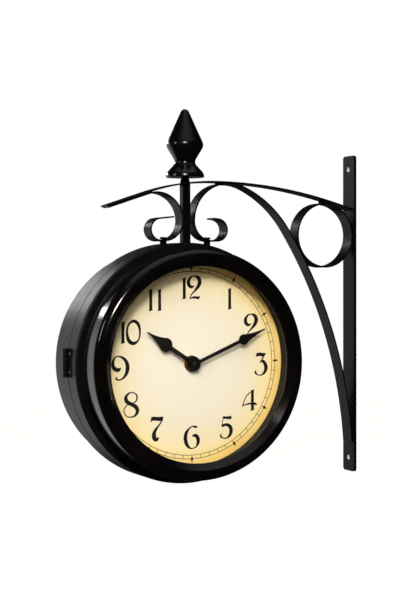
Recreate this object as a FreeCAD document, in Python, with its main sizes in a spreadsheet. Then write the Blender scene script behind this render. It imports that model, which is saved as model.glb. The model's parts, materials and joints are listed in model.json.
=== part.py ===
import FreeCAD, Part
import math
import os
from dataclasses import dataclass
from typing import Callable, Dict, List, Sequence, Tuple

import Sketcher
from FreeCAD import Placement, Rotation, Vector

# Double sided station clock on a wall bracket.  Millimetres, +Z up.
#
# The origin is the middle of the two wall holes, on the back face of the wall plate.
# The wall is the plane X = 0 and the bracket reaches out along -X; the front dial faces -Y.
# The clock is two alike half cases.  The front one is screwed to the bracket, and the rear one
# is a door on a hinge at nine o'clock, as seen from the front, so that both movements can be
# reached.  Everything round the drum is drawn once in a "face frame": origin on the drum's axis
# in the seam plane, x to the right and y up as the reader of that dial sees it, z towards them.

DRIVING_SIZES: List[Tuple[str, float, str]] = [
    # wall plate
    ("plate_length", 317.0, "wall plate, end to end"),
    ("plate_width", 20.0, "wall plate, across"),
    ("plate_thickness", 3.0, "wall plate"),
    ("plate_corner", 3.0, "rounding of the plate's corners"),
    ("hole_margin", 13.7, "from each end of the plate to its wall hole"),
    ("hole_diameter", 4.8, "wall holes"),
    # bent strips
    ("strip_width", 15.5, "width of every bent strip"),
    ("strip_thickness", 1.5, "thickness of every bent strip"),
    ("post_reach", 186.0, "wall to the axis of the post"),
    ("crest_drop", 30.1, "from the plate's top end down to the crest of the arm's middle line"),
    ("crest_offset", 30.0, "from the post towards the wall, to the arm's crest"),
    ("arm_nose_radius", 232.0, "arm's bend from the crest to its free end"),
    ("arm_wall_radius", 505.0, "arm's bend from the crest to the wall"),
    ("arm_nose_angle", 18.3, "slope of the arm's straight free end, degrees"),
    ("arm_nose_reach", 83.0, "from the post to the arm's free tip"),
    ("scroll_tip_setback", 1.5, "front scroll ends this much before the arm's tip"),
    ("scroll_post_gap", 1.2, "between the scrolls and the post"),
    ("strip_gap", 0.05, "between two strips that lie on each other"),
    ("scroll_foot_radius", 18.7, "bend of both scrolls above their feet"),
    ("brace_contact_offset", 45.4, "from the post, where the brace meets the arm"),
    ("curl_radius", 10.4, "bend of the two small curls"),
    ("curl_turn", 174.0, "how far the two small curls turn, degrees"),
    ("front_curl_flat", 3.9, "straight foot between the front scroll and its curl"),
    ("brace_curl_flat", 6.0, "straight foot between the rear scroll and its curl"),
    ("front_hook_length", 14.8, "straight end of the front curl"),
    ("brace_hook_length", 4.7, "straight end of the rear curl"),
    ("brace_neck_radius", 45.0, "brace's bend where it leaves the arm"),
    ("brace_neck_angle", 24.0, "its slope after that bend, degrees"),
    ("brace_shoulder_radius", 110.0, "brace's next bend"),
    ("brace_shoulder_angle", 56.0, "its slope after that bend, degrees"),
    ("brace_foot_margin", 29.9, "from the plate's bottom end up to the brace's end"),
    ("hoop_drop", 50.0, "from the arm's crest down to the centre of the ring hoop"),
    ("hoop_gap", 0.2, "between the hoop and the brace"),
    ("spacer_diameter", 6.0, "rivet spacers between strips"),
    ("brace_spacer_offset", 35.0, "from the post to the spacer between arm and brace"),
    # post, rod and finial
    ("post_side", 8.0, "square tube of the post"),
    ("post_wall", 0.9, "wall of that tube"),
    ("rod_diameter", 5.0, "threaded rod through the post"),
    ("rod_clearance", 0.2, "round the rod in the holes that it passes"),
    ("rod_chamfer", 0.4, "both ends of the rod"),
    ("finial_height", 64.5, "turned finial"),
    ("finial_base_radius", 18.2, "rim at the finial's foot"),
    ("finial_rim_round", 0.7, "rounding of the rim's lower edge"),
    ("finial_bell_round", 7.4, "rounding of the bell above the rim"),
    ("finial_neck_radius", 9.8, "waist of the finial"),
    ("finial_neck_height", 14.7, "waist above the finial's foot"),
    ("finial_neck_round", 5.0, "hollow of the waist"),
    ("finial_belly_radius", 17.4, "widest part of the finial"),
    ("finial_belly_height", 30.7, "widest part above the finial's foot"),
    ("finial_belly_round", 7.0, "rounding of the widest part"),
    ("finial_cone_angle", 24.4, "slope of the finial's cone, degrees"),
    ("finial_grip", 16.0, "how deep the rod sits in the finial"),
    ("finial_lift", 4.8, "finial's foot above the arm"),
    ("collar_top_radius", 3.6, "conical collar under the finial"),
    ("collar_base_radius", 5.0, "conical collar on the arm"),
    ("nut_across_flats", 8.0, "nut of the rod"),
    ("nut_height", 4.5, "nut of the rod"),
    ("washer_radius", 4.1, "washer under that nut"),
    ("washer_thickness", 1.2, "washer under that nut"),
    # drum
    ("scroll_room", 58.0, "from the arm's crest down to the top of the drum"),
    ("seam_offset", 13.7, "seam plane behind the bracket's middle plane"),
    ("seam_gap", 0.6, "between the two half cases"),
    ("flange_radius", 114.0, "outside of the drum"),
    ("flange_depth", 19.3, "from the seam to the drum's shoulder"),
    ("shell_thickness", 1.2, "sheet of the half case"),
    ("least_inside_round", 0.2, "least inside rounding of a bend in that sheet"),
    ("shoulder_round", 1.6, "rounding of the drum's shoulder"),
    ("shoulder_width", 8.6, "from the drum's outside in to the neck that carries the bezel"),
    ("neck_depth", 45.2, "from the seam to the neck's edge"),
    ("foot_gap", 1.75, "from the drum's highest point to the middle line of the scrolls' feet"),
    # bezel
    ("bezel_sheet", 2.4, "bezel's rolled sheet"),
    ("bezel_back", 26.3, "bezel's rear edge, from the seam"),
    ("bezel_front", 53.8, "bezel's foremost point, from the seam"),
    ("bezel_round", 8.0, "rounding of the bezel's outer corner"),
    ("bezel_fit", 0.2, "between the bezel and the neck"),
    ("bezel_face", 16.6, "from the bezel's outside in to its opening"),
    ("bezel_face_slope", 18.0, "slope of the bezel's face, degrees"),
    ("lip_depth", 5.3, "from the bezel's front to the lip's front edge"),
    ("lip_thickness", 1.2, "edge of the lip"),
    ("lip_round", 1.2, "rounding of that edge"),
    ("lip_slope", 40.0, "slope of the bezel's face where it meets the lip, degrees"),
    ("lip_ledge", 3.6, "back of the lip that the glass lies on"),
    # what lies behind the bezel
    ("lens_thickness", 1.8, "flat glass"),
    ("lens_fit", 2.8, "between the glass and the neck's inside"),
    ("gasket_thickness", 0.6, "seal behind the glass"),
    ("dial_front", 25.8, "dial's face, from the seam"),
    ("dial_thickness", 1.0, "dial plate"),
    ("dial_fit", 0.3, "between the dial and the neck's inside"),
    ("seat_thickness", 1.2, "ring inside the neck that the dial lies on"),
    ("seat_width", 6.0, "how far that ring reaches inwards"),
    ("tunnel_setback", 5.6, "inside wall between dial and glass, out from the opening"),
    ("tunnel_wall", 1.2, "its sheet"),
    # movement
    ("movement_side", 56.0, "square quartz movement"),
    ("movement_depth", 16.0, "its case"),
    ("movement_corner", 5.0, "rounding of its case"),
    ("cushion_thickness", 1.0, "rubber washer between movement and dial"),
    ("cushion_radius", 14.0, "rubber washer"),
    ("battery_diameter", 14.5, "round cell"),
    ("battery_length", 50.5, "round cell"),
    ("battery_pole_radius", 2.75, "its plus pole"),
    ("battery_pole_length", 1.2, "its plus pole"),
    ("battery_drop", 17.0, "cell's axis below the shaft"),
    ("battery_clearance", 0.4, "round the cell in its bay"),
    ("bush_radius", 4.0, "threaded bush through the dial"),
    ("bush_front", 29.2, "end of the bush, from the seam"),
    ("bush_seat", 3.0, "how deep the bush sits in the movement"),
    ("shaft_clearance", 0.05, "running clearance of every shaft"),
    ("dial_hole_clearance", 0.3, "round the bush in the dial"),
    ("dial_washer_radius", 7.8, "brass washer on the dial"),
    ("dial_washer_thickness", 0.6, "brass washer on the dial"),
    ("dial_nut_flats", 11.0, "brass nut on the bush"),
    ("dial_nut_height", 2.2, "brass nut on the bush"),
    ("hour_tube_radius", 2.6, "tube that carries the hour hand"),
    ("minute_arbor_radius", 1.1, "arbor that carries the minute hand"),
    ("hour_hand_level", 30.6, "back of the hour hand, from the seam"),
    ("minute_hand_level", 32.6, "back of the minute hand, from the seam"),
    ("hand_thickness", 0.7, "both hands"),
    ("hour_boss_radius", 7.0, "disc at the hour hand's root"),
    ("minute_boss_radius", 6.0, "disc at the minute hand's root"),
    ("hour_hand_length", 57.0, "shaft to tip"),
    ("minute_hand_length", 81.5, "shaft to tip"),
    ("hour_stem_width", 4.2, "hour hand's stem"),
    ("minute_stem_width", 3.3, "minute hand's stem"),
    ("hour_spade_radius", 6.6, "hour hand's spade"),
    ("minute_spade_radius", 5.1, "minute hand's spade"),
    ("hour_spade_offset", 34.5, "shaft to the middle of the spade"),
    ("minute_spade_offset", 56.5, "shaft to the middle of the spade"),
    ("hand_tip_width", 1.3, "both hands' tips"),
    ("spade_shoulder", 38.0, "where a tip leaves its spade, above the spade's middle, degrees"),
    ("tip_waist", 0.42, "where a tip's hollow sides are held, a share of the tip's length"),
    ("tip_hollow", 0.64, "how far in they are there, a share of the way from shoulder to tip"),
    ("hour_hand_angle", 302.8, "clockwise from twelve, degrees"),
    ("minute_hand_angle", 67.4, "clockwise from twelve, degrees"),
    ("cap_radius", 2.4, "cap nut on the minute hand"),
    ("cap_height", 2.2, "cap nut on the minute hand"),
    ("knob_radius", 6.5, "setting wheel on the movement's back"),
    ("knob_thickness", 2.8, "setting wheel"),
    ("knob_flutes", 12.0, "flutes round the setting wheel, count"),
    ("knob_flute_radius", 0.75, "each flute"),
    ("knob_gap", 0.4, "between the setting wheel and the movement"),
    ("knob_offset", 13.0, "setting wheel above the shaft"),
    ("knob_stem_radius", 1.5, "stem of the setting wheel"),
    ("knob_stem_length", 6.0, "stem of the setting wheel inside the movement"),
    # hinge and catch of the rear door
    ("hinge_height", 27.0, "hinge, top to bottom"),
    ("hinge_knuckles", 5.0, "knuckles of the hinge, count"),
    ("hinge_lift", 3.0, "hinge's middle above the drum's axis"),
    ("hinge_barrel_radius", 2.3, "barrel of the hinge"),
    ("hinge_pin_radius", 1.1, "pin of the hinge"),
    ("hinge_stand_off", 0.3, "between the barrel and the drum"),
    ("hinge_knuckle_gap", 0.3, "between two knuckles"),
    ("leaf_thickness", 0.8, "leaf on the drum"),
    ("leaf_width", 8.0, "how far a leaf reaches from the seam"),
    ("leaf_relief", 0.4, "between a leaf and the other leaf's barrel"),
    ("catch_width", 8.0, "tongue of the catch, up and down"),
    ("catch_thickness", 1.2, "tongue of the catch"),
    ("catch_chamfer", 0.36, "lead of the tongue"),
    ("catch_overlap", 6.0, "how far the tongue enters the front half"),
    ("catch_length", 12.0, "part of the tongue inside the door"),
    ("catch_clearance", 0.5, "round the tongue in its clip"),
    ("clip_thickness", 1.6, "walls of the clip"),
    # fasteners of the scrolls' feet
    ("foot_offset", 23.0, "from the post to each foot screw"),
    ("foot_spacer_radius", 3.2, "spacer under each foot"),
    ("foot_screw_radius", 1.9, "foot screw's shank"),
    ("foot_head_radius", 3.4, "foot screw's head"),
    ("foot_head_height", 2.0, "foot screw's head"),
    ("head_round", 0.6, "rounding of a head, a share of its height"),
    ("foot_hole_clearance", 0.2, "round the shank"),
    ("foot_nut_flats", 7.0, "nut of a foot screw"),
    ("foot_nut_height", 3.0, "nut of a foot screw"),
]

DOCUMENT = FreeCAD.newDocument("station_clock")
SHEET = DOCUMENT.addObject("Spreadsheet::Sheet", "Sizes")


def fill_sheet() -> Dict[str, float]:
    """Writes the driving sizes into the spreadsheet, one row each, and returns them by name."""
    for row, (alias, size, note) in enumerate(DRIVING_SIZES, start=1):
        SHEET.set(f"A{row}", note)
        SHEET.set(f"B{row}", str(size))
        SHEET.setAlias(f"B{row}", alias)
    DOCUMENT.recompute()
    return {alias: float(getattr(SHEET, alias)) for alias, _, _ in DRIVING_SIZES}


SIZE = fill_sheet()
PROBES_PER_STRETCH = 40

# ----------------------------------------------------------------- places worked out once

POST_X = -SIZE["post_reach"]
CREST = SIZE["plate_length"] / 2 - SIZE["crest_drop"]
DRUM_TOP = CREST - SIZE["scroll_room"]
DRUM_AXIS = DRUM_TOP - SIZE["flange_radius"]
NECK = SIZE["flange_radius"] - SIZE["shoulder_width"]
BEZEL = NECK + SIZE["bezel_fit"] + SIZE["bezel_sheet"]
OPENING = BEZEL - SIZE["bezel_face"]
FOOT_LINE = DRUM_TOP + SIZE["foot_gap"]
FRONT_FACE = Placement(Vector(POST_X, SIZE["seam_offset"], DRUM_AXIS),
                       Rotation(Vector(1, 0, 0), 90))
REAR_FACE = Placement(Vector(POST_X, SIZE["seam_offset"], DRUM_AXIS),
                      Rotation(Vector(0, 0, 1), 180).multiply(Rotation(Vector(1, 0, 0), 90)))
DIAL_BACK = SIZE["dial_front"] - SIZE["dial_thickness"]
MOVEMENT_FRONT = DIAL_BACK - SIZE["cushion_thickness"]
MOVEMENT_BACK = MOVEMENT_FRONT - SIZE["movement_depth"]
NECK_BORE = NECK - SIZE["shell_thickness"]
LIP_FRONT = SIZE["bezel_front"] - SIZE["lip_depth"]
LENS_FRONT = LIP_FRONT - SIZE["lip_thickness"]
LENS_BACK = LENS_FRONT - SIZE["lens_thickness"]
TUNNEL_FRONT = LENS_BACK - SIZE["gasket_thickness"]
LENS_RADIUS = NECK_BORE - SIZE["lens_fit"]
HINGE_RADIUS = SIZE["flange_radius"] + SIZE["hinge_stand_off"] + SIZE["hinge_barrel_radius"]


# ----------------------------------------------------------------- sketches and features

def new_body(label: str, place: Placement = Placement()):
    """An empty body with its own label and place."""
    body = DOCUMENT.addObject("PartDesign::Body", "Body_" + label)
    body.Label = label
    body.Placement = place
    return body


def new_sketch(body, role: str, level: str = "0"):
    """A sketch on one of the body's origin planes, lifted along its normal by an expression."""
    plane = next(item for item in body.Origin.OriginFeatures if item.Role == role)
    sketch = body.newObject("Sketcher::SketchObject", body.Name + "_sketch")
    sketch.AttachmentSupport = [(plane, "")]
    sketch.MapMode = "FlatFace"
    if level != "0":
        sketch.setExpression(".AttachmentOffset.Base.z", level)
    return sketch


def bind(sketch, constraint, expression: str) -> None:
    """Adds a dimension to a sketch and ties it to the sheet."""
    index = sketch.addConstraint(constraint)
    sketch.setExpression(f"Constraints[{index}]", expression)


def evaluate(expression: str) -> float:
    """The value of an expression on the sheet, as a plain number."""
    return float(getattr(SHEET.evalExpression(expression), "Value", SHEET.evalExpression(expression)))


def circle(sketch, radius: str, x: str = "0", y: str = "0") -> None:
    """A circle whose radius and centre are expressions on the sheet."""
    centre = Vector(evaluate(x), evaluate(y), 0)
    index = sketch.addGeometry(Part.Circle(centre, Vector(0, 0, 1), evaluate(radius)), False)
    bind(sketch, Sketcher.Constraint("Radius", index, evaluate(radius)), radius)
    place_point(sketch, index, 3, x, y)


def place_point(sketch, index: int, point: int, x: str, y: str) -> None:
    """Ties one point of a sketch to the sketch's origin by two expressions."""
    for kind, expression in (("X", x), ("Y", y)):
        distance = evaluate(expression)
        if abs(distance) < 1e-9:
            axis = -2 if kind == "X" else -1
            sketch.addConstraint(Sketcher.Constraint("PointOnObject", index, point, axis))
        elif distance > 0:
            bind(sketch, Sketcher.Constraint("Distance" + kind, -1, 1, index, point, distance), expression)
        else:
            bind(sketch, Sketcher.Constraint("Distance" + kind, index, point, -1, 1, -distance),
                 f"-({expression})")


def rectangle(sketch, left: str, right: str, bottom: str, top: str) -> None:
    """An upright rectangle whose four sides are expressions on the sheet."""
    x0, x1, y0, y1 = (evaluate(side) for side in (left, right, bottom, top))
    corners = [Vector(x0, y0, 0), Vector(x1, y0, 0), Vector(x1, y1, 0), Vector(x0, y1, 0)]
    first = sketch.GeometryCount
    for start, end in zip(corners, corners[1:] + corners[:1]):
        sketch.addGeometry(Part.LineSegment(start, end), False)
    for side in range(4):
        follower = first + (side + 1) % 4
        sketch.addConstraint(Sketcher.Constraint("Coincident", first + side, 2, follower, 1))
        sketch.addConstraint(Sketcher.Constraint("Horizontal" if side % 2 == 0 else "Vertical", first + side))
    place_point(sketch, first, 1, left, bottom)
    place_point(sketch, first + 2, 1, right, top)


def pad(body, sketch, length: str, symmetric: bool = False):
    """Pads a sketch by an expression, to one side or to both."""
    feature = body.newObject("PartDesign::Pad", body.Name + "_pad")
    feature.Profile = sketch
    feature.SideType = "Symmetric" if symmetric else "One side"
    feature.setExpression("Length", length)
    DOCUMENT.recompute()
    return feature


def pocket(body, sketch, length: str, reverse: bool = False):
    """Cuts a sketch into the body and makes sure that it took something away."""
    before = body.Tip.Shape.Volume
    feature = body.newObject("PartDesign::Pocket", body.Name + "_pocket")
    feature.Profile = sketch
    feature.SideType = "One side"
    feature.Reversed = reverse
    feature.setExpression("Length", length)
    DOCUMENT.recompute()
    if feature.Shape.Volume >= before:
        raise RuntimeError(f"{body.Label}: a pocket cut nothing")
    return feature


def revolve(body, sketch):
    """Turns a profile once round the body's Z axis."""
    feature = body.newObject("PartDesign::Revolution", body.Name + "_revolution")
    feature.Profile = sketch
    feature.ReferenceAxis = (sketch, ["V_Axis"])
    feature.Angle = 360.0
    DOCUMENT.recompute()
    return feature


def edge_feature(body, kind: str, size: str, wanted: Callable[[object], bool]):
    """A fillet or chamfer on the edges of the tip that a test picks out."""
    base = body.Tip
    edges = [f"Edge{number}" for number, edge in enumerate(base.Shape.Edges, start=1) if wanted(edge)]
    feature = body.newObject(f"PartDesign::{kind}", body.Name + "_" + kind)
    feature.Base = (base, edges)
    feature.setExpression("Radius" if kind == "Fillet" else "Size", size)
    DOCUMENT.recompute()
    return feature


@dataclass
class Outline:
    """A closed outline of lines and arcs, drawn point by point and put into a sketch."""

    start: Tuple[float, float]

    def __post_init__(self) -> None:
        self.here = Vector(self.start[0], self.start[1], 0)
        self.first = Vector(self.here)
        self.edges: List[object] = []

    def line(self, x: float, y: float) -> "Outline":
        """A straight edge to a point."""
        end = Vector(x, y, 0)
        if end.distanceToPoint(self.here) > 1e-7:
            self.edges.append(Part.LineSegment(self.here, end))
        self.here = end
        return self

    def arc(self, middle: Tuple[float, float], end: Tuple[float, float]) -> "Outline":
        """An arc through a middle point to an end point."""
        last = Vector(end[0], end[1], 0)
        self.edges.append(Part.Arc(self.here, Vector(middle[0], middle[1], 0), last))
        self.here = last
        return self

    def corner(self, centre: Tuple[float, float], radius: float, first: float, last: float) -> "Outline":
        """An arc about a centre, between two angles in degrees."""
        start, middle, end = (polar(centre, radius, angle) for angle in (first, (first + last) / 2, last))
        return self.line(*start).arc(middle, end)

    def draw(self, sketch) -> None:
        """Closes the outline and fixes every edge where it was drawn."""
        self.line(self.first.x, self.first.y)
        count = sketch.GeometryCount
        for edge in self.edges:
            sketch.addGeometry(edge, False)
        for index in range(count, count + len(self.edges)):
            sketch.addConstraint(Sketcher.Constraint("Block", index))


# ----------------------------------------------------------------- bent strips

@dataclass(frozen=True)
class Bend:
    """One stretch of a strip's middle line: a straight run, or an arc that turns left or right."""

    x: float
    z: float
    heading: float
    length: float
    radius: float = 0.0

    def turn(self) -> float:
        """How far the heading turns over the stretch, in degrees, positive to the left."""
        return 0.0 if self.radius == 0.0 else math.degrees(self.length / self.radius)

    def point(self, share: float, side: float = 0.0) -> Tuple[float, float]:
        """A point at a share of the stretch, moved to the left of the heading by side."""
        heading = math.radians(self.heading)
        if self.radius == 0.0:
            x = self.x + self.length * share * math.cos(heading)
            z = self.z + self.length * share * math.sin(heading)
        else:
            now = heading + math.radians(self.turn()) * share
            x = self.x + self.radius * (math.sin(now) - math.sin(heading))
            z = self.z - self.radius * (math.cos(now) - math.cos(heading))
            heading = now
        return x - side * math.sin(heading), z + side * math.cos(heading)

    def end(self) -> Tuple[float, float, float]:
        """The place and heading at the stretch's end."""
        x, z = self.point(1.0)
        return x, z, self.heading + self.turn()

    def reversed(self) -> "Bend":
        """The same stretch walked the other way."""
        x, z, heading = self.end()
        return Bend(x, z, heading + 180.0, self.length, -self.radius)


class Walk:
    """A middle line made of stretches that follow each other without a kink."""

    def __init__(self, x: float, z: float, heading: float) -> None:
        self.place = (x, z, heading)
        self.bends: List[Bend] = []

    def straight(self, length: float) -> "Walk":
        """A straight run."""
        x, z, heading = self.place
        return self.add(Bend(x, z, heading, length))

    def bend(self, radius: float, degrees: float) -> "Walk":
        """An arc of a radius, to the left for positive degrees."""
        x, z, heading = self.place
        return self.add(Bend(x, z, heading, radius * math.radians(abs(degrees)),
                             math.copysign(radius, degrees)))

    def bend_to(self, x_end: float, z_end: float) -> "Walk":
        """The one arc that leaves along the heading and ends at a point."""
        x, z, heading = self.place
        chord = math.hypot(x_end - x, z_end - z)
        half = math.degrees(math.atan2(z_end - z, x_end - x)) - heading
        half = (half + 180.0) % 360.0 - 180.0
        return self.bend(chord / (2.0 * math.sin(math.radians(abs(half)))), 2.0 * half)

    def add(self, bend: Bend) -> "Walk":
        """Adds a stretch."""
        self.bends.append(bend)
        self.place = bend.end()
        return self


def strip_body(label: str, bends: Sequence[Bend]):
    """A flat strip on edge: the middle line widened to the strip's thickness and padded to its width."""
    half = SIZE["strip_thickness"] / 2.0
    body = new_body(label)
    sketch = new_sketch(body, "XZ_Plane")
    outline = Outline(bends[0].point(0.0, half))
    for stretch in bends:
        follow_side(outline, stretch, half)
    outline.line(*bends[-1].point(1.0, -half))
    for stretch in reversed(bends):
        follow_side(outline, stretch.reversed(), half)
    outline.draw(sketch)
    pad(body, sketch, "Sizes.strip_width", symmetric=True)
    return body


def follow_side(outline: Outline, stretch: Bend, side: float) -> None:
    """Draws one side of a stretch."""
    end = stretch.point(1.0, side)
    if stretch.radius == 0.0:
        outline.line(*end)
    else:
        outline.arc(stretch.point(0.5, side), end)


def arm_point(offset: float) -> Tuple[float, float, float]:
    """The arm's middle line at a distance from the post towards the wall, with its slope in degrees."""
    run = offset - SIZE["crest_offset"]
    radius = SIZE["arm_wall_radius"] if run > 0 else SIZE["arm_nose_radius"]
    slope = math.asin(min(1.0, abs(run) / radius))
    limit = math.radians(SIZE["arm_nose_angle"])
    if run < 0 and slope > limit:
        past = -run - radius * math.sin(limit)
        height = CREST - radius * (1.0 - math.cos(limit)) - past * math.tan(limit)
        return POST_X + offset, height, SIZE["arm_nose_angle"]
    height = CREST - radius * (1.0 - math.cos(slope))
    return POST_X + offset, height, math.degrees(-slope if run > 0 else slope)


def arm_walk() -> Walk:
    """The arm from its free tip to the wall plate."""
    x, z, slope = arm_point(-SIZE["arm_nose_reach"])
    bend_start = SIZE["crest_offset"] - SIZE["arm_nose_radius"] * math.sin(math.radians(SIZE["arm_nose_angle"]))
    straight = (SIZE["arm_nose_reach"] + bend_start) / math.cos(math.radians(slope))
    wall_run = SIZE["post_reach"] - SIZE["plate_thickness"] - SIZE["crest_offset"] + SIZE["strip_thickness"] / 2
    wall_turn = math.degrees(math.asin(wall_run / SIZE["arm_wall_radius"]))
    walk = Walk(x, z, slope).straight(straight)
    return walk.bend(SIZE["arm_nose_radius"], -SIZE["arm_nose_angle"]).bend(SIZE["arm_wall_radius"], -wall_turn)


def curl(walk: Walk, foot: float, sense: float, hook: float) -> Walk:
    """The straight foot, the small curl and its hook, turning to one side."""
    walk.straight(foot)
    walk.bend(SIZE["curl_radius"], sense * SIZE["curl_turn"])
    return walk.straight(hook)


def front_scroll_walk() -> Walk:
    """The front scroll: under the arm from its tip, over and down beside the post, and into its curl.

    The upper bend is the one circle that touches the straight run under the arm and ends upright
    beside the post, where the foot bend starts.
    """
    slope = math.radians(SIZE["arm_nose_angle"])
    drop = SIZE["strip_thickness"] + SIZE["strip_gap"]
    beside_post = POST_X - SIZE["post_side"] / 2 - SIZE["scroll_post_gap"] - SIZE["strip_thickness"] / 2
    x, z, heading = arm_point(SIZE["scroll_tip_setback"] - SIZE["arm_nose_reach"])
    x += drop * math.sin(slope)
    z -= drop * math.cos(slope)
    rise = z - (FOOT_LINE + SIZE["scroll_foot_radius"])
    radius = ((beside_post - x) * math.sin(slope) + rise * math.cos(slope)) / (1.0 + math.sin(slope))
    bend_x = beside_post - radius - radius * math.sin(slope)
    walk = Walk(x, z, heading).straight((bend_x - x) / math.cos(slope))
    walk.bend(radius, -(90.0 + heading)).bend(SIZE["scroll_foot_radius"], -90.0)
    return curl(walk, SIZE["front_curl_flat"], -1.0, SIZE["front_hook_length"])


def brace_bends() -> List[Bend]:
    """The long strip: its curl beside the post, up to the arm, and down as the brace to the wall plate.

    Its upper bend is found as on the front scroll.
    """
    x, z, slope = arm_point(SIZE["brace_contact_offset"])
    drop = SIZE["strip_thickness"] + SIZE["strip_gap"]
    x += drop * math.sin(math.radians(slope))
    z -= drop * math.cos(math.radians(slope))
    beside_post = POST_X + SIZE["post_side"] / 2 + SIZE["scroll_post_gap"] + SIZE["strip_thickness"] / 2
    sine, cosine = -math.sin(math.radians(slope)), math.cos(math.radians(slope))
    rise = z - (FOOT_LINE + SIZE["scroll_foot_radius"])
    radius = ((x - beside_post) * sine + rise * cosine) / (1.0 + sine)
    run = (x - beside_post - radius) * cosine - rise * sine
    scroll = Walk(x, z, 180.0 + slope).straight(run)
    scroll.bend(radius, 90.0 - slope).bend(SIZE["scroll_foot_radius"], 90.0)
    curl(scroll, SIZE["brace_curl_flat"], 1.0, SIZE["brace_hook_length"])
    brace = Walk(x, z, slope).bend(SIZE["brace_neck_radius"], -(SIZE["brace_neck_angle"] + slope))
    brace.bend(SIZE["brace_shoulder_radius"], SIZE["brace_neck_angle"] - SIZE["brace_shoulder_angle"])
    foot = SIZE["brace_foot_margin"] - SIZE["plate_length"] / 2
    brace.bend_to(-SIZE["plate_thickness"] - SIZE["strip_thickness"] / 2, foot)
    return [stretch.reversed() for stretch in reversed(scroll.bends)] + brace.bends


# ----------------------------------------------------------------- bracket

def drill_down(body, expression_x: str, radius: str, level: float, depth: float) -> None:
    """A round hole through a strip, straight down from a level."""
    sketch = new_sketch(body, "XY_Plane")
    sketch.AttachmentOffset = Placement(Vector(0, 0, level), Rotation())
    circle(sketch, radius, expression_x)
    pocket(body, sketch, str(depth))


def make_wall_plate() -> None:
    """The flat plate on the wall, with its two holes and rounded corners."""
    body = new_body("wall_plate")
    sketch = new_sketch(body, "YZ_Plane", "-Sizes.plate_thickness")
    rectangle(sketch, "-Sizes.plate_width / 2", "Sizes.plate_width / 2",
              "-Sizes.plate_length / 2", "Sizes.plate_length / 2")
    pad(body, sketch, "Sizes.plate_thickness")
    holes = new_sketch(body, "YZ_Plane")
    for side in ("", "-"):
        circle(holes, "Sizes.hole_diameter / 2", "0", f"{side}(Sizes.plate_length / 2 - Sizes.hole_margin)")
    pocket(body, holes, "Sizes.plate_thickness")
    edge_feature(body, "Fillet", "Sizes.plate_corner", lambda edge: is_plate_corner(edge))


def is_plate_corner(edge) -> bool:
    """True for the plate's four short corner edges."""
    ends = [vertex.Point for vertex in edge.Vertexes]
    if len(ends) != 2 or abs(edge.Length - SIZE["plate_thickness"]) > 1e-6:
        return False
    return abs(abs(ends[0].y) - SIZE["plate_width"] / 2) < 1e-6 and abs(ends[0].y - ends[1].y) < 1e-6


def make_strips() -> Dict[str, object]:
    """The arm, the front scroll and the scroll that runs on as the brace."""
    arm = strip_body("arm", arm_walk().bends)
    trim_at_plate(arm)
    _, arm_height, _ = arm_point(0.0)
    drill_down(arm, "-Sizes.post_reach", "(Sizes.rod_diameter + Sizes.rod_clearance) / 2",
               arm_height + 2 * SIZE["strip_thickness"], 4 * SIZE["strip_thickness"])
    front = strip_body("front_scroll", front_scroll_walk().bends)
    brace = strip_body("scroll_brace", brace_bends())
    hole = "Sizes.foot_screw_radius + Sizes.foot_hole_clearance"
    drill = 3 * SIZE["strip_thickness"]
    drill_down(front, "-Sizes.post_reach - Sizes.foot_offset", hole, FOOT_LINE + drill / 2, drill)
    drill_down(brace, "-Sizes.post_reach + Sizes.foot_offset", hole, FOOT_LINE + drill / 2, drill)
    return {"arm": arm, "front_scroll": front, "scroll_brace": brace}


def trim_at_plate(arm) -> None:
    """Cuts the arm's end flush with the wall plate's face."""
    _, height, _ = arm_point(SIZE["post_reach"])
    reach = 4 * SIZE["strip_thickness"]
    sketch = new_sketch(arm, "XZ_Plane", "-Sizes.strip_width")
    rectangle(sketch, "-Sizes.plate_thickness", "Sizes.plate_thickness", str(height - reach),
              str(height + reach))
    pocket(arm, sketch, "2 * Sizes.strip_width", reverse=True)


def hoop_size() -> Tuple[float, float]:
    """The hoop's outer radius and centre height: it touches the plate and stays clear of the brace."""
    height = CREST - SIZE["hoop_drop"]
    half = SIZE["strip_thickness"] / 2
    near_brace = [stretch.point(step / PROBES_PER_STRETCH, half)
                  for stretch in brace_bends() for step in range(PROBES_PER_STRETCH + 1)]
    small, large = 0.0, SIZE["post_reach"] / 2
    while large - small > 1e-6:
        radius = (small + large) / 2
        centre_x = -SIZE["plate_thickness"] - radius
        distance = min(math.hypot(x - centre_x, z - height) for x, z in near_brace)
        if distance > radius + SIZE["hoop_gap"]:
            small = radius
        else:
            large = radius
    return radius, height


def make_hoop():
    """The ring hoop in the corner between arm, brace and wall plate."""
    radius, height = hoop_size()
    body = new_body("ring_hoop")
    sketch = new_sketch(body, "XZ_Plane")
    centre_x = f"-(Sizes.plate_thickness + {radius})"
    circle(sketch, str(radius), centre_x, str(height))
    circle(sketch, f"{radius} - Sizes.strip_thickness", centre_x, str(height))
    pad(body, sketch, "Sizes.strip_width", symmetric=True)
    return body


def feature(label: str, shape, place: Placement = Placement()):
    """A sub-part whose shape is worked out from its neighbours."""
    item = DOCUMENT.addObject("Part::Feature", "Feature_" + label)
    item.Label = label
    item.Shape = shape
    item.Placement = place
    return item


def solids_of(shape) -> List[object]:
    """The solids of a shape, cleaned of seams."""
    return [solid for solid in shape.removeSplitter().Solids]


def between(stud, *neighbours):
    """The part of a stud that is left between the pieces that it joins."""
    rest = stud.cut(list(neighbours))
    middle = stud.CenterOfMass
    return min(solids_of(rest), key=lambda solid: solid.CenterOfMass.distanceToPoint(middle))


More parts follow.
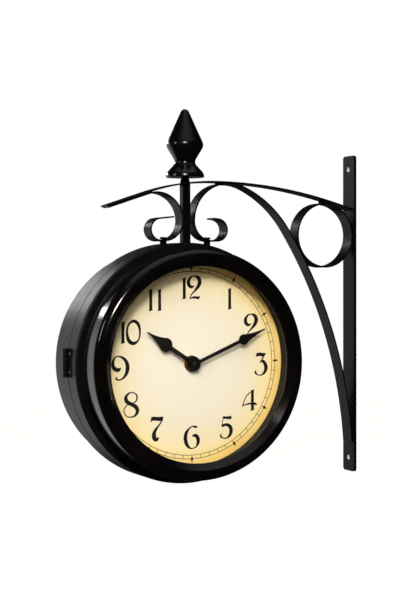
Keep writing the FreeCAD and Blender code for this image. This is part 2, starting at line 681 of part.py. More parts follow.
def make_spacers(strips: Dict[str, object], hoop) -> None:
    """The short rivet spacers that join the strips, hoop and plate, cut to the faces that they meet."""
    radius = SIZE["spacer_diameter"] / 2.0
    arm = strips["arm"].Shape
    x, z, _ = arm_point(SIZE["brace_spacer_offset"])
    drop = 4.0 * SIZE["strip_thickness"]
    stud = Part.makeCylinder(radius, drop, Vector(x, 0, z - drop), Vector(0, 0, 1))
    brace = strips["scroll_brace"].Shape
    low = stud.common(brace).BoundBox.ZMin
    stud = Part.makeCylinder(radius, z - low, Vector(x, 0, low))
    feature("brace_spacer", between(stud, arm, brace))
    hoop_radius, hoop_height = hoop_size()
    hoop_x = -(SIZE["plate_thickness"] + hoop_radius)
    _, arm_z, _ = arm_point(SIZE["post_reach"] + hoop_x)
    hoop_top = hoop_height + hoop_radius - SIZE["strip_thickness"] / 2
    stud = Part.makeCylinder(radius, arm_z - hoop_top, Vector(hoop_x, 0, hoop_top))
    feature("hoop_spacer", between(stud, arm, hoop.Shape))


def make_post(strips: Dict[str, object]) -> None:
    """The square tube between drum and arm, the rod through it, the collar, the finial and the nut."""
    side = SIZE["post_side"]
    bore = side - 2.0 * SIZE["post_wall"]
    arm = strips["arm"].Shape
    _, arm_z, _ = arm_point(0.0)
    bottom = DRUM_TOP - SIZE["shell_thickness"] / 2
    drum = drum_cylinder()
    tube = Part.makeBox(side, side, arm_z - bottom, Vector(POST_X - side / 2, -side / 2, bottom))
    hollow = Part.makeBox(bore, bore, arm_z - bottom, Vector(POST_X - bore / 2, -bore / 2, bottom))
    wall_line = [edge for edge in tube.Edges if abs(edge.Length - (arm_z - bottom)) < 1e-6]
    tube = tube.makeFillet(SIZE["post_wall"], wall_line).cut([hollow, arm, drum])
    feature("hanger_post", max(solids_of(tube), key=lambda solid: solid.Volume))

    foot = finial_foot()
    hole = (SIZE["rod_diameter"] + SIZE["rod_clearance"]) / 2.0
    cone = Part.makeCone(SIZE["collar_base_radius"], SIZE["collar_top_radius"], foot - arm_z,
                         Vector(POST_X, 0, arm_z))
    cone = cone.cut([arm, Part.makeCylinder(hole, foot - arm_z, Vector(POST_X, 0, arm_z))])
    feature("post_collar", max(solids_of(cone), key=lambda solid: solid.Volume))

    washer_z = rod_washer_level()
    rod_bottom = washer_z - SIZE["nut_height"] - SIZE["strip_thickness"]
    rod = new_body("hanger_rod", Placement(Vector(POST_X, 0, rod_bottom), Rotation()))
    sketch = new_sketch(rod, "XY_Plane")
    circle(sketch, "Sizes.rod_diameter / 2")
    pad(rod, sketch, str(foot + SIZE["finial_grip"] - rod_bottom))
    edge_feature(rod, "Chamfer", "Sizes.rod_chamfer", lambda edge: edge.Curve.TypeId == "Part::GeomCircle")
    make_finial(foot)
    hex_nut("rod_nut", Placement(Vector(POST_X, 0, washer_z - SIZE["nut_height"]), Rotation()),
            "Sizes.nut_across_flats", "Sizes.nut_height", "(Sizes.rod_diameter + Sizes.shaft_clearance) / 2")
    washer = new_body("rod_washer", Placement(Vector(POST_X, 0, washer_z), Rotation()))
    sketch = new_sketch(washer, "XY_Plane")
    circle(sketch, "Sizes.washer_radius")
    circle(sketch, "(Sizes.rod_diameter + Sizes.rod_clearance) / 2")
    pad(washer, sketch, "Sizes.washer_thickness")


def finial_foot() -> float:
    """Height of the finial's flat foot."""
    _, arm_z, _ = arm_point(0.0)
    return arm_z + SIZE["strip_thickness"] / 2 + SIZE["finial_lift"]


def drum_cylinder():
    """The drum's outer cylinder as a solid, to cut pieces that stand on it."""
    start = Vector(POST_X, SIZE["seam_offset"] - SIZE["flange_depth"], DRUM_AXIS)
    return Part.makeCylinder(SIZE["flange_radius"], 2 * SIZE["flange_depth"], start, Vector(0, 1, 0))


def rod_washer_level() -> float:
    """Underside of the washer that bears on the inside of the case, at the washer's edge."""
    inside = SIZE["flange_radius"] - SIZE["shell_thickness"]
    edge = math.sqrt(inside ** 2 - SIZE["washer_radius"] ** 2)
    return DRUM_AXIS + edge - SIZE["washer_thickness"]


def make_finial(foot: float) -> None:
    """The turned finial: round nose, cone, belly, hollow waist and bell, with a hole for the rod."""
    top, slope = SIZE["finial_height"], SIZE["finial_cone_angle"]
    belly_round, neck_round, bell_round = (SIZE["finial_belly_round"], SIZE["finial_neck_round"],
                                           SIZE["finial_bell_round"])
    base, edge = SIZE["finial_base_radius"], SIZE["finial_rim_round"]
    belly = (SIZE["finial_belly_radius"] - belly_round, SIZE["finial_belly_height"])
    neck = (SIZE["finial_neck_radius"] + neck_round, SIZE["finial_neck_height"])
    bell = (base - bell_round, edge)
    above = touching_angle(belly, belly_round, neck, neck_round)
    below = touching_angle(bell, bell_round, neck, neck_round)
    sine, cosine = math.sin(math.radians(slope)), math.cos(math.radians(slope))
    apex = belly[1] + (belly[0] * cosine + belly_round) / sine
    nose = (apex - top) * sine / (1.0 - sine)
    hole = (SIZE["rod_diameter"] + SIZE["shaft_clearance"]) / 2.0
    bottom = SIZE["finial_grip"] + SIZE["rod_clearance"]

    body = new_body("finial", Placement(Vector(POST_X, 0, foot), Rotation()))
    sketch = new_sketch(body, "XZ_Plane")
    outline = Outline((0.0, bottom)).line(0.0, top)
    outline.arc(polar((0.0, top - nose), nose, (90.0 + slope) / 2), polar((0.0, top - nose), nose, slope))
    outline.corner(belly, belly_round, slope, -above)
    outline.corner(neck, neck_round, 180.0 - above, 180.0 + below)
    outline.corner(bell, bell_round, below, 0.0)
    outline.corner((base - edge, edge), edge, 0.0, -90.0)
    outline.line(hole, 0.0).line(hole, bottom)
    outline.draw(sketch)
    revolve(body, sketch)


def touching_angle(round_centre: Tuple[float, float], round_radius: float,
                   hollow_centre: Tuple[float, float], hollow_radius: float) -> float:
    """How far from level the radius stands where a straight line touches a round and then a hollow."""
    across = hollow_centre[0] - round_centre[0]
    apart = abs(hollow_centre[1] - round_centre[1])
    swing = math.acos((round_radius + hollow_radius) / math.hypot(across, apart))
    return math.degrees(math.atan2(apart, across) - swing)


def polar(centre: Tuple[float, float], radius: float, angle: float) -> Tuple[float, float]:
    """The point at an angle in degrees on a circle."""
    return (centre[0] + radius * math.cos(math.radians(angle)),
            centre[1] + radius * math.sin(math.radians(angle)))


def hex_nut(label: str, place: Placement, flats: str, height: str, bore: str):
    """A hexagon nut with a round bore."""
    body = new_body(label, place)
    corner = evaluate(flats) / math.sqrt(3.0)
    sketch = new_sketch(body, "XY_Plane")
    angles = [math.radians(60.0 * side) for side in range(6)]
    outline = Outline((corner, 0.0))
    for angle in angles[1:]:
        outline.line(corner * math.cos(angle), corner * math.sin(angle))
    outline.draw(sketch)
    circle(sketch, bore)
    pad(body, sketch, height)
    return body


# ----------------------------------------------------------------- one face of the drum

@dataclass(frozen=True)
class Face:
    """One side of the drum: its name's ending and its place."""

    side: str
    place: Placement

    def body(self, name: str):
        """A body of this face."""
        return new_body(f"{name}_{self.side}", self.place)

    def ring(self, name: str, inner: str, outer: str, back: str, front: str):
        """A flat ring or a disc, by its two radii and its two levels from the seam."""
        body = self.body(name)
        sketch = new_sketch(body, "XY_Plane", back)
        circle(sketch, outer)
        if inner != "0":
            circle(sketch, inner)
        pad(body, sketch, f"({front}) - ({back})")
        return body


NECK_TEXT = "(Sizes.flange_radius - Sizes.shoulder_width)"
OPENING_TEXT = f"({NECK_TEXT} + Sizes.bezel_fit + Sizes.bezel_sheet - Sizes.bezel_face)"
LIP_FRONT_TEXT = "Sizes.bezel_front - Sizes.lip_depth"
LENS_FRONT_TEXT = f"{LIP_FRONT_TEXT} - Sizes.lip_thickness"
LENS_BACK_TEXT = f"{LENS_FRONT_TEXT} - Sizes.lens_thickness"
TUNNEL_FRONT_TEXT = f"{LENS_BACK_TEXT} - Sizes.gasket_thickness"
DIAL_BACK_TEXT = "Sizes.dial_front - Sizes.dial_thickness"
MOVEMENT_FRONT_TEXT = f"{DIAL_BACK_TEXT} - Sizes.cushion_thickness"
MOVEMENT_BACK_TEXT = f"{MOVEMENT_FRONT_TEXT} - Sizes.movement_depth"
NECK_BORE_TEXT = f"{NECK_TEXT} - Sizes.shell_thickness"


def make_case(face: Face):
    """The half case: a sheet drum with a rounded shoulder, a flat step and the neck for the bezel."""
    body = face.body("case")
    sketch = new_sketch(body, "XZ_Plane")
    sheet = SIZE["shell_thickness"]
    outer = SIZE["flange_radius"]
    step = SIZE["flange_depth"]
    edge = SIZE["seam_gap"] / 2.0
    rim = sheet / 2.0
    turn = SIZE["shoulder_round"]
    inner_turn = max(turn - sheet, SIZE["least_inside_round"])
    neck = NECK
    fillet = turn / 2.0
    outline = Outline((outer - rim, edge)).arc((outer - rim + rim * math.sin(math.pi / 4),
                                                edge + rim - rim * math.cos(math.pi / 4)),
                                               (outer, edge + rim))
    outline.corner((outer - turn, step - turn), turn, 0.0, 90.0)
    outline.corner((neck + fillet, step + fillet), fillet, -90.0, -180.0)
    outline.line(neck, SIZE["neck_depth"]).line(neck - sheet, SIZE["neck_depth"])
    outline.line(neck - sheet, step - sheet)
    outline.corner((outer - sheet - inner_turn, step - sheet - inner_turn), inner_turn, 90.0, 0.0)
    outline.line(outer - sheet, edge + rim)
    outline.arc((outer - sheet + rim - rim * math.cos(math.pi / 4), edge + rim - rim * math.sin(math.pi / 4)),
                (outer - rim, edge))
    outline.draw(sketch)
    revolve(body, sketch)
    return body


def drill_case(body) -> None:
    """The three holes in the top of the front half: the rod and the two foot screws."""
    sketch = new_sketch(body, "XZ_Plane")
    plane_height = NECK
    sketch.AttachmentOffset = Placement(Vector(0, 0, -plane_height), Rotation())
    circle(sketch, "(Sizes.rod_diameter + Sizes.rod_clearance) / 2", "0", "Sizes.seam_offset")
    for sign in ("-", ""):
        circle(sketch, "Sizes.foot_screw_radius + Sizes.foot_hole_clearance",
               f"{sign}Sizes.foot_offset", "Sizes.seam_offset")
    pocket(body, sketch, "Sizes.flange_radius", reverse=False)


def make_bezel(face: Face) -> None:
    """The bezel: a skirt over the neck, a round shoulder, a sloping face and the lip that holds the glass."""
    body = face.body("bezel")
    sketch = new_sketch(body, "XZ_Plane")
    outer = BEZEL
    inner = NECK + SIZE["bezel_fit"]
    turn = SIZE["bezel_round"]
    crown = (outer - turn, SIZE["bezel_front"] - turn)
    inner_turn = inner - crown[0]
    face_angle = 90.0 + SIZE["bezel_face_slope"]
    edge = SIZE["lip_round"]
    roll = (outer - inner) / 2.0
    outline = Outline((inner, SIZE["bezel_back"] + roll))
    outline.corner((inner + roll, SIZE["bezel_back"] + roll), roll, 180.0, 360.0)
    outline.corner(crown, turn, 0.0, face_angle)
    rounded_lip = (OPENING + edge, LIP_FRONT - SIZE["lip_thickness"] / 2.0)
    outline.corner(rounded_lip, edge, 90.0 + SIZE["lip_slope"], 180.0)
    outline.line(OPENING, LENS_FRONT).line(OPENING + SIZE["lip_ledge"], LENS_FRONT)
    outline.corner(crown, inner_turn, face_angle, 0.0)
    outline.draw(sketch)
    revolve(body, sketch)


def make_glazing(face: Face) -> None:
    """The glass, its seal, the tunnel ring between dial and glass, the dial and the ring it lies on."""
    lens_radius = f"{NECK_BORE_TEXT} - Sizes.lens_fit"
    face.ring("lens", "0", lens_radius, LENS_BACK_TEXT, LENS_FRONT_TEXT)
    face.ring("lens_gasket", f"{OPENING_TEXT} + Sizes.tunnel_setback", lens_radius, TUNNEL_FRONT_TEXT,
              LENS_BACK_TEXT)
    make_tunnel(face)
    face.ring("dial", "Sizes.bush_radius + Sizes.dial_hole_clearance", f"{NECK_BORE_TEXT} - Sizes.dial_fit",
              DIAL_BACK_TEXT, "Sizes.dial_front")
    face.ring("dial_seat", f"{NECK_BORE_TEXT} - Sizes.seat_width", NECK_BORE_TEXT,
              f"{DIAL_BACK_TEXT} - Sizes.seat_thickness", DIAL_BACK_TEXT)


def make_tunnel(face: Face) -> None:
    """The tunnel ring: a thin wall with a flange on the dial and a flange under the seal."""
    body = face.body("tunnel_ring")
    sketch = new_sketch(body, "XZ_Plane")
    inner = OPENING + SIZE["tunnel_setback"]
    wall = SIZE["tunnel_wall"]
    foot = NECK_BORE - SIZE["dial_fit"]
    head = LENS_RADIUS
    back, front = SIZE["dial_front"], TUNNEL_FRONT
    outline = Outline((inner, back)).line(foot, back).line(foot, back + wall).line(inner + wall, back + wall)
    outline.line(inner + wall, front - wall).line(head, front - wall).line(head, front).line(inner, front)
    outline.draw(sketch)
    revolve(body, sketch)


def make_movement(face: Face) -> None:
    """The quartz movement: its case with the battery bay, the cell, the bush, washers, nut and wheel."""
    body = face.body("movement")
    half = "Sizes.movement_side / 2"
    sketch = new_sketch(body, "XY_Plane", MOVEMENT_BACK_TEXT)
    rectangle(sketch, f"-{half}", half, f"-{half}", half)
    pad(body, sketch, "Sizes.movement_depth")
    edge_feature(body, "Fillet", "Sizes.movement_corner", lambda edge: is_upright(edge))
    bay = new_sketch(body, "XY_Plane", MOVEMENT_BACK_TEXT)
    bay_half = "(Sizes.battery_length / 2 + Sizes.battery_clearance)"
    bay_width = "(Sizes.battery_diameter / 2 + Sizes.battery_clearance)"
    rectangle(bay, f"-{bay_half}", bay_half, f"-Sizes.battery_drop - {bay_width}",
              f"-Sizes.battery_drop + {bay_width}")
    pocket(body, bay, "Sizes.battery_diameter", reverse=True)
    bore = new_sketch(body, "XY_Plane", MOVEMENT_FRONT_TEXT)
    circle(bore, "Sizes.bush_radius")
    pocket(body, bore, "Sizes.bush_seat")
    stem = new_sketch(body, "XY_Plane", MOVEMENT_BACK_TEXT)
    circle(stem, "Sizes.knob_stem_radius + Sizes.shaft_clearance", "0", "Sizes.knob_offset")
    pocket(body, stem, "Sizes.knob_stem_length + Sizes.knob_gap", reverse=True)

    make_battery(face)
    face.ring("cushion_washer", "Sizes.bush_radius", "Sizes.cushion_radius", MOVEMENT_FRONT_TEXT,
              DIAL_BACK_TEXT)
    face.ring("bush", "Sizes.hour_tube_radius + Sizes.shaft_clearance", "Sizes.bush_radius",
              f"{MOVEMENT_FRONT_TEXT} - Sizes.bush_seat", "Sizes.bush_front")
    washer_front = "Sizes.dial_front + Sizes.dial_washer_thickness"
    face.ring("dial_washer", "Sizes.bush_radius", "Sizes.dial_washer_radius", "Sizes.dial_front", washer_front)
    lift = Vector(0, 0, SIZE["dial_front"] + SIZE["dial_washer_thickness"])
    hex_nut(f"dial_nut_{face.side}", face.place.multiply(Placement(lift, Rotation())),
            "Sizes.dial_nut_flats", "Sizes.dial_nut_height", "Sizes.bush_radius")
    make_knob(face)


def is_upright(edge) -> bool:
    """True for a straight edge along the face's axis, on the outside of the movement."""
    ends = [vertex.Point for vertex in edge.Vertexes]
    return (len(ends) == 2 and abs(ends[0].x - ends[1].x) < 1e-6 and abs(ends[0].y - ends[1].y) < 1e-6
            and abs(abs(ends[0].x) - SIZE["movement_side"] / 2) < 1e-6)


def make_battery(face: Face) -> None:
    """The round cell in its bay, with the small plus pole at one end."""
    radius = SIZE["battery_diameter"] / 2.0
    pole, pole_length = SIZE["battery_pole_radius"], SIZE["battery_pole_length"]
    length = SIZE["battery_length"]
    profile = Outline((0.0, -length / 2)).line(radius, -length / 2).line(radius, length / 2 - pole_length)
    profile.line(pole, length / 2 - pole_length).line(pole, length / 2).line(0.0, length / 2)
    level = MOVEMENT_BACK + radius
    lying = Placement(Vector(0, -SIZE["battery_drop"], level), Rotation(Vector(0, 1, 0), 90))
    body = new_body(f"battery_{face.side}", face.place.multiply(lying))
    sketch = new_sketch(body, "XZ_Plane")
    profile.draw(sketch)
    revolve(body, sketch)


def make_knob(face: Face) -> None:
    """The setting wheel on the movement's back, its grip cut with flutes, and its stem."""
    body = face.body("setting_wheel")
    back = f"{MOVEMENT_BACK_TEXT} - Sizes.knob_gap - Sizes.knob_thickness"
    sketch = new_sketch(body, "XY_Plane", back)
    circle(sketch, "Sizes.knob_radius", "0", "Sizes.knob_offset")
    pad(body, sketch, "Sizes.knob_thickness")
    stem = new_sketch(body, "XY_Plane", f"{MOVEMENT_BACK_TEXT} - Sizes.knob_gap")
    circle(stem, "Sizes.knob_stem_radius", "0", "Sizes.knob_offset")
    pad(body, stem, "Sizes.knob_stem_length")
    flutes = new_sketch(body, "XY_Plane", back)
    count = int(SIZE["knob_flutes"])
    for index in range(count):
        angle = 360.0 / count * index
        circle(flutes, "Sizes.knob_flute_radius", f"Sizes.knob_radius * cos({angle}deg)",
               f"Sizes.knob_offset + Sizes.knob_radius * sin({angle}deg)")
    pocket(body, flutes, "Sizes.knob_thickness", reverse=True)


# ----------------------------------------------------------------- hands

@dataclass(frozen=True)
class Hand:
    """One hand: the start of its sizes' names, and what it turns on."""

    name: str

    def size(self, what: str) -> float:
        """One of this hand's sizes."""
        return SIZE[f"{self.name}_{what}"]

    def plate(self, face: Face):
        """The flat hand: disc, stem, round spade and a tip that narrows in a hollow curve."""
        turn = Placement(Vector(0, 0, 0), Rotation(Vector(0, 0, 1), -self.size("hand_angle")))
        body = new_body(f"{self.name}_hand_{face.side}", face.place.multiply(turn))
        sketch = new_sketch(body, "XY_Plane", f"Sizes.{self.name}_hand_level")
        boss, spade = self.size("boss_radius"), self.size("spade_radius")
        stem, tip = self.size("stem_width") / 2.0, SIZE["hand_tip_width"] / 2.0
        middle, end = self.size("spade_offset"), self.size("hand_length")
        boss_angle = math.degrees(math.asin(stem / boss))
        neck_angle = math.degrees(math.asin(stem / spade))
        shoulder = SIZE["spade_shoulder"]
        shoulder_x = spade * math.cos(math.radians(shoulder))
        shoulder_y = middle + spade * math.sin(math.radians(shoulder))
        waist = (shoulder_x + SIZE["tip_hollow"] * (tip - shoulder_x),
                 shoulder_y + SIZE["tip_waist"] * (end - shoulder_y))
        outline = Outline((stem, boss * math.cos(math.radians(boss_angle))))
        outline.corner((0.0, middle), spade, -90.0 + neck_angle, shoulder)
        outline.arc(waist, (tip, end - tip))
        outline.arc((0.0, end), (-tip, end - tip))
        outline.arc((-waist[0], waist[1]), (-shoulder_x, shoulder_y))
        outline.corner((0.0, middle), spade, 180.0 - shoulder, 270.0 - neck_angle)
        outline.corner((0.0, 0.0), boss, 90.0 + boss_angle, 450.0 - boss_angle)
        outline.draw(sketch)
        pad(body, sketch, "Sizes.hand_thickness")
        return body


def make_hands(face: Face) -> None:
    """The hour hand on its tube, and the minute hand on its arbor with the cap nut."""
    hour = Hand("hour").plate(face)
    tube_back = f"{MOVEMENT_FRONT_TEXT} - Sizes.bush_seat / 2"
    tube = new_sketch(hour, "XY_Plane", tube_back)
    circle(tube, "Sizes.hour_tube_radius")
    pad(hour, tube, f"Sizes.hour_hand_level + Sizes.hand_thickness + Sizes.knob_gap - ({tube_back})")
    bore = new_sketch(hour, "XY_Plane", tube_back)
    circle(bore, "Sizes.minute_arbor_radius + Sizes.shaft_clearance")
    pocket(hour, bore, "Sizes.minute_hand_level", reverse=True)
    minute = Hand("minute").plate(face)
    arbor_back = f"{MOVEMENT_FRONT_TEXT} - Sizes.bush_seat + Sizes.knob_gap"
    arbor = new_sketch(minute, "XY_Plane", arbor_back)
    circle(arbor, "Sizes.minute_arbor_radius")
    pad(minute, arbor, f"Sizes.minute_hand_level + Sizes.hand_thickness - ({arbor_back})")
    cap = face.ring("hand_cap", "0", "Sizes.cap_radius", "Sizes.minute_hand_level + Sizes.hand_thickness",
                    "Sizes.minute_hand_level + Sizes.hand_thickness + Sizes.cap_height")
    top = SIZE["minute_hand_level"] + SIZE["hand_thickness"] + SIZE["cap_height"]
    edge_feature(cap, "Fillet", "Sizes.cap_height * Sizes.head_round",
                 lambda edge: all(abs(vertex.Point.z - top) < 1e-6 for vertex in edge.Vertexes))


# ----------------------------------------------------------------- hinge, catch and feet

def drum_sector(inner: float, outer: float, near: float, far: float, low: float, high: float):
    """A piece of a sleeve round the drum at nine o'clock, between two depths and two heights."""
    sleeve = Part.makeCylinder(outer, far - near, Vector(0, 0, near))
    sleeve = sleeve.cut(Part.makeCylinder(inner, far - near, Vector(0, 0, near)))
    window = Part.makeBox(outer, high - low, far - near, Vector(-outer, low, near))
    return sleeve.common(window)


def make_hinge(front: Face) -> None:
    """The hinge: a leaf on each half with its knuckles, and the pin through them."""
    low = SIZE["hinge_lift"] - SIZE["hinge_height"] / 2.0
    knuckles = int(SIZE["hinge_knuckles"])
    pitch = SIZE["hinge_height"] / knuckles
    barrel = SIZE["hinge_barrel_radius"]
    bore = SIZE["hinge_pin_radius"] + SIZE["shaft_clearance"]
    drum = SIZE["flange_radius"]
    leaf_top = drum + SIZE["leaf_thickness"]
    near = barrel + SIZE["leaf_relief"]
    for label, sense, own in (("hinge_leaf_front", 1.0, range(0, knuckles, 2)),
                              ("hinge_leaf_rear", -1.0, range(1, knuckles, 2))):
        near_level, far_level = sorted((sense * near, sense * SIZE["leaf_width"]))
        leaf = drum_sector(drum, leaf_top, near_level, far_level, low, low + SIZE["hinge_height"])
        for index in own:
            bottom = low + index * pitch + SIZE["hinge_knuckle_gap"] / 2.0
            height = pitch - SIZE["hinge_knuckle_gap"]
            knuckle = Part.makeCylinder(barrel, height, Vector(-HINGE_RADIUS, bottom, 0), Vector(0, 1, 0))
            web_low, web_high = sorted((0.0, sense * (near + SIZE["leaf_thickness"])))
            reach = leaf_top - drum
            web = Part.makeBox(reach, height, web_high - web_low, Vector(-leaf_top, bottom, web_low))
            clear = Part.makeCylinder(drum, web_high - web_low, Vector(0, 0, web_low))
            leaf = leaf.fuse([knuckle, web.cut(clear)])
        hole = Part.makeCylinder(bore, SIZE["hinge_height"], Vector(-HINGE_RADIUS, low, 0), Vector(0, 1, 0))
        feature(label, max(solids_of(leaf.cut(hole)), key=lambda solid: solid.Volume), front.place)
    pin_low = low + SIZE["hinge_knuckle_gap"] / 2.0
    pin_length = SIZE["hinge_height"] - SIZE["hinge_knuckle_gap"]
    pin = Part.makeCylinder(SIZE["hinge_pin_radius"], pin_length, Vector(-HINGE_RADIUS, pin_low, 0),
                            Vector(0, 1, 0))
    feature("hinge_pin", pin, front.place)


def make_catch(front: Face) -> None:
    """The catch at three o'clock: a tongue in the door that slides into a clip in the front half."""
    half = SIZE["catch_width"] / 2.0
    inside = SIZE["flange_radius"] - SIZE["shell_thickness"]
    outer = math.sqrt(inside ** 2 - half ** 2)
    inner = outer - SIZE["catch_thickness"]
    overlap, length = SIZE["catch_overlap"], SIZE["catch_length"]
    seam = SIZE["seam_gap"] / 2.0
    tongue = Part.makeBox(SIZE["catch_thickness"], 2 * half, overlap + length,
                          Vector(inner, -half, -length))
    nose = [edge for edge in tongue.Edges if abs(edge.Length - 2 * half) < 1e-6
            and all(abs(vertex.Point.z - overlap) < 1e-6 for vertex in edge.Vertexes)]
    feature("catch_tongue", tongue.makeChamfer(SIZE["catch_chamfer"], nose), front.place)
    gap, wall = SIZE["catch_clearance"], SIZE["clip_thickness"]
    clip_width = half + gap + wall
    clip_front = seam + overlap + gap + wall
    clip = Part.makeBox(outer + wall - (inner - gap - wall), 2 * clip_width, clip_front - seam,
                        Vector(inner - gap - wall, -clip_width, seam))
    slot = Part.makeBox(outer + wall - (inner - gap), 2 * (half + gap), overlap + gap,
                        Vector(inner - gap, -half - gap, seam))
    shell = Part.makeCylinder(inside, clip_front - seam, Vector(0, 0, seam))
    feature("catch_clip", max(solids_of(clip.cut(slot).common(shell)), key=lambda solid: solid.Volume),
            front.place)


def foot_places() -> List[float]:
    """The X of the two foot screws."""
    return [POST_X - SIZE["foot_offset"], POST_X + SIZE["foot_offset"]]


def strip_at(strip, x: float) -> Tuple[float, float]:
    """The lowest and highest point of a strip's foot near a vertical line."""
    probe = Part.makeCylinder(SIZE["foot_spacer_radius"], 4 * SIZE["strip_thickness"],
                              Vector(x, 0, FOOT_LINE - 2 * SIZE["strip_thickness"]))
    box = probe.common(strip).BoundBox
    return box.ZMin, box.ZMax


def make_feet(strips: Dict[str, object]) -> None:
    """Under each scroll: a spacer on the drum, and the screw and nut that hold the foot down."""
    drum = drum_cylinder()
    hole = SIZE["foot_screw_radius"] + SIZE["foot_hole_clearance"]
    inside = SIZE["flange_radius"] - SIZE["shell_thickness"]
    spacers, screws, nuts = [], [], []
    for x, name in zip(foot_places(), ("front_scroll", "scroll_brace")):
        strip = strips[name].Shape
        _, top = strip_at(strip, x)
        offset = abs(x - POST_X) + SIZE["foot_spacer_radius"]
        base = DRUM_AXIS + math.sqrt(SIZE["flange_radius"] ** 2 - offset ** 2)
        tall = FOOT_LINE - base
        spacer = Part.makeCylinder(SIZE["foot_spacer_radius"], tall, Vector(x, 0, base))
        spacer = spacer.cut([drum, strip, Part.makeCylinder(hole, tall, Vector(x, 0, base))])
        spacers.append(min(solids_of(spacer), key=lambda solid: solid.CenterOfMass.z))
        across = abs(x - POST_X) + SIZE["foot_nut_flats"] / math.sqrt(3.0)
        nut_top = DRUM_AXIS + math.sqrt(inside ** 2 - across ** 2)
        nut_bottom = nut_top - SIZE["foot_nut_height"]
        shank_bottom = nut_bottom - SIZE["foot_screw_radius"] / 2.0
        shank = Part.makeCylinder(SIZE["foot_screw_radius"], top - shank_bottom, Vector(x, 0, shank_bottom))
        head = Part.makeCylinder(SIZE["foot_head_radius"], SIZE["foot_head_height"], Vector(x, 0, top))
        rim = [edge for edge in head.Edges if edge.BoundBox.ZMin > top + SIZE["foot_head_height"] - 1e-6]
        rounded = head.makeFillet(SIZE["foot_head_height"] * SIZE["head_round"], rim)
        screws.append(shank.fuse(rounded).removeSplitter())
        nuts.append(hexagon(x, nut_bottom))
    feature("foot_spacers", Part.makeCompound(spacers))
    feature("foot_screws", Part.makeCompound(screws))
    feature("foot_nuts", Part.makeCompound(nuts))


def hexagon(x: float, bottom: float):
    """One small hexagon nut under the case's top."""
    corner = SIZE["foot_nut_flats"] / math.sqrt(3.0)
    points = [Vector(x + corner * math.cos(math.radians(60.0 * side)),
                     corner * math.sin(math.radians(60.0 * side)), bottom) for side in range(7)]
    prism = Part.Face(Part.makePolygon(points)).extrude(Vector(0, 0, SIZE["foot_nut_height"]))
    bore = Part.makeCylinder(SIZE["foot_screw_radius"] + SIZE["shaft_clearance"], SIZE["foot_nut_height"],
                             Vector(x, 0, bottom))
    return prism.cut(bore)


# ----------------------------------------------------------------- the whole clock

def make_face(face: Face) -> None:
    """Everything on one side of the drum."""
    case = make_case(face)
    if face.side == "front":
        drill_case(case)
    make_bezel(face)
    make_glazing(face)
    make_movement(face)
    make_hands(face)


def check_and_export() -> None:
    """Recomputes the document, makes sure that every piece is sound, and writes one file per piece."""
    DOCUMENT.recompute()
    for item in DOCUMENT.Objects:
        if any(word in item.State for word in ("Invalid", "Error")):
            raise RuntimeError(f"{item.Label} is {item.State}")
    os.makedirs("parts", exist_ok=True)
    pieces = [item for item in DOCUMENT.Objects if item.TypeId in ("PartDesign::Body", "Part::Feature")]
    for piece in pieces:
        shape = piece.Shape
        if shape.isNull() or not shape.isValid() or not shape.Solids:
            raise RuntimeError(f"{piece.Label} has no valid solid")
        shape.exportStep(f"parts/{piece.Label}.step")
    print(f"{len(pieces)} pieces, {sum(len(piece.Shape.Solids) for piece in pieces)} solids")


def main() -> None:
    """Builds the bracket, both faces of the drum, the door's hinge and catch, and the fasteners."""
    front, rear = Face("front", FRONT_FACE), Face("rear", REAR_FACE)
    make_wall_plate()
    strips = make_strips()
    hoop = make_hoop()
    make_spacers(strips, hoop)
    make_post(strips)
    for face in (front, rear):
        make_face(face)
    make_hinge(front)
    make_catch(front)
    make_feet(strips)
    check_and_export()


main()
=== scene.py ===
"""Looks of a double sided station clock on a scrolled wall bracket.

The CAD nodes are the shapes; this script gives each of them its finish, prints both dials,
adds the small trim that is too fine for the solids, and sets the studio and the camera.
Metres, +Z up, +X into the wall, the front dial faces -Y.
"""

import json
import logging
import math
from dataclasses import dataclass, field
from enum import Enum
from typing import Any, Dict, List, Optional, Sequence, Tuple

import bpy
import numpy as np
from mathutils import Matrix

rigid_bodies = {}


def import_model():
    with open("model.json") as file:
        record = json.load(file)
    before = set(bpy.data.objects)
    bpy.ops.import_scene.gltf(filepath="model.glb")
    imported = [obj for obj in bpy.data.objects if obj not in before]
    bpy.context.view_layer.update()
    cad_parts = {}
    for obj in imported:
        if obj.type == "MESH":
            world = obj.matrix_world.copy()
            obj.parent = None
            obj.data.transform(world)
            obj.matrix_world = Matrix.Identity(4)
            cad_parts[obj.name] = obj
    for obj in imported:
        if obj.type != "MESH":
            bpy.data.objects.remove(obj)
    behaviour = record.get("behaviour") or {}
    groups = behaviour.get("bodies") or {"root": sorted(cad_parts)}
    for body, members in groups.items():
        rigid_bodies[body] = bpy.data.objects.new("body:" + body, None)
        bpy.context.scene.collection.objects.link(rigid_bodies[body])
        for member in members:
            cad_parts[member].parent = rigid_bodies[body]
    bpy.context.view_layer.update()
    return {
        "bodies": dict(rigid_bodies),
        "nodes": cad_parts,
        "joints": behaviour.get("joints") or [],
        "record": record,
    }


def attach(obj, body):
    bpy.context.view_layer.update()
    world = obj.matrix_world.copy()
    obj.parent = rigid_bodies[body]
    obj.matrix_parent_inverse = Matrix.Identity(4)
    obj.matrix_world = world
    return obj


LOG = logging.getLogger("station_clock")
MM = 0.001

Socket = bpy.types.NodeSocket
Point = Tuple[float, float]
Stroke = Sequence[Tuple[float, float, float]]


# --------------------------------------------------------------------------- node helpers

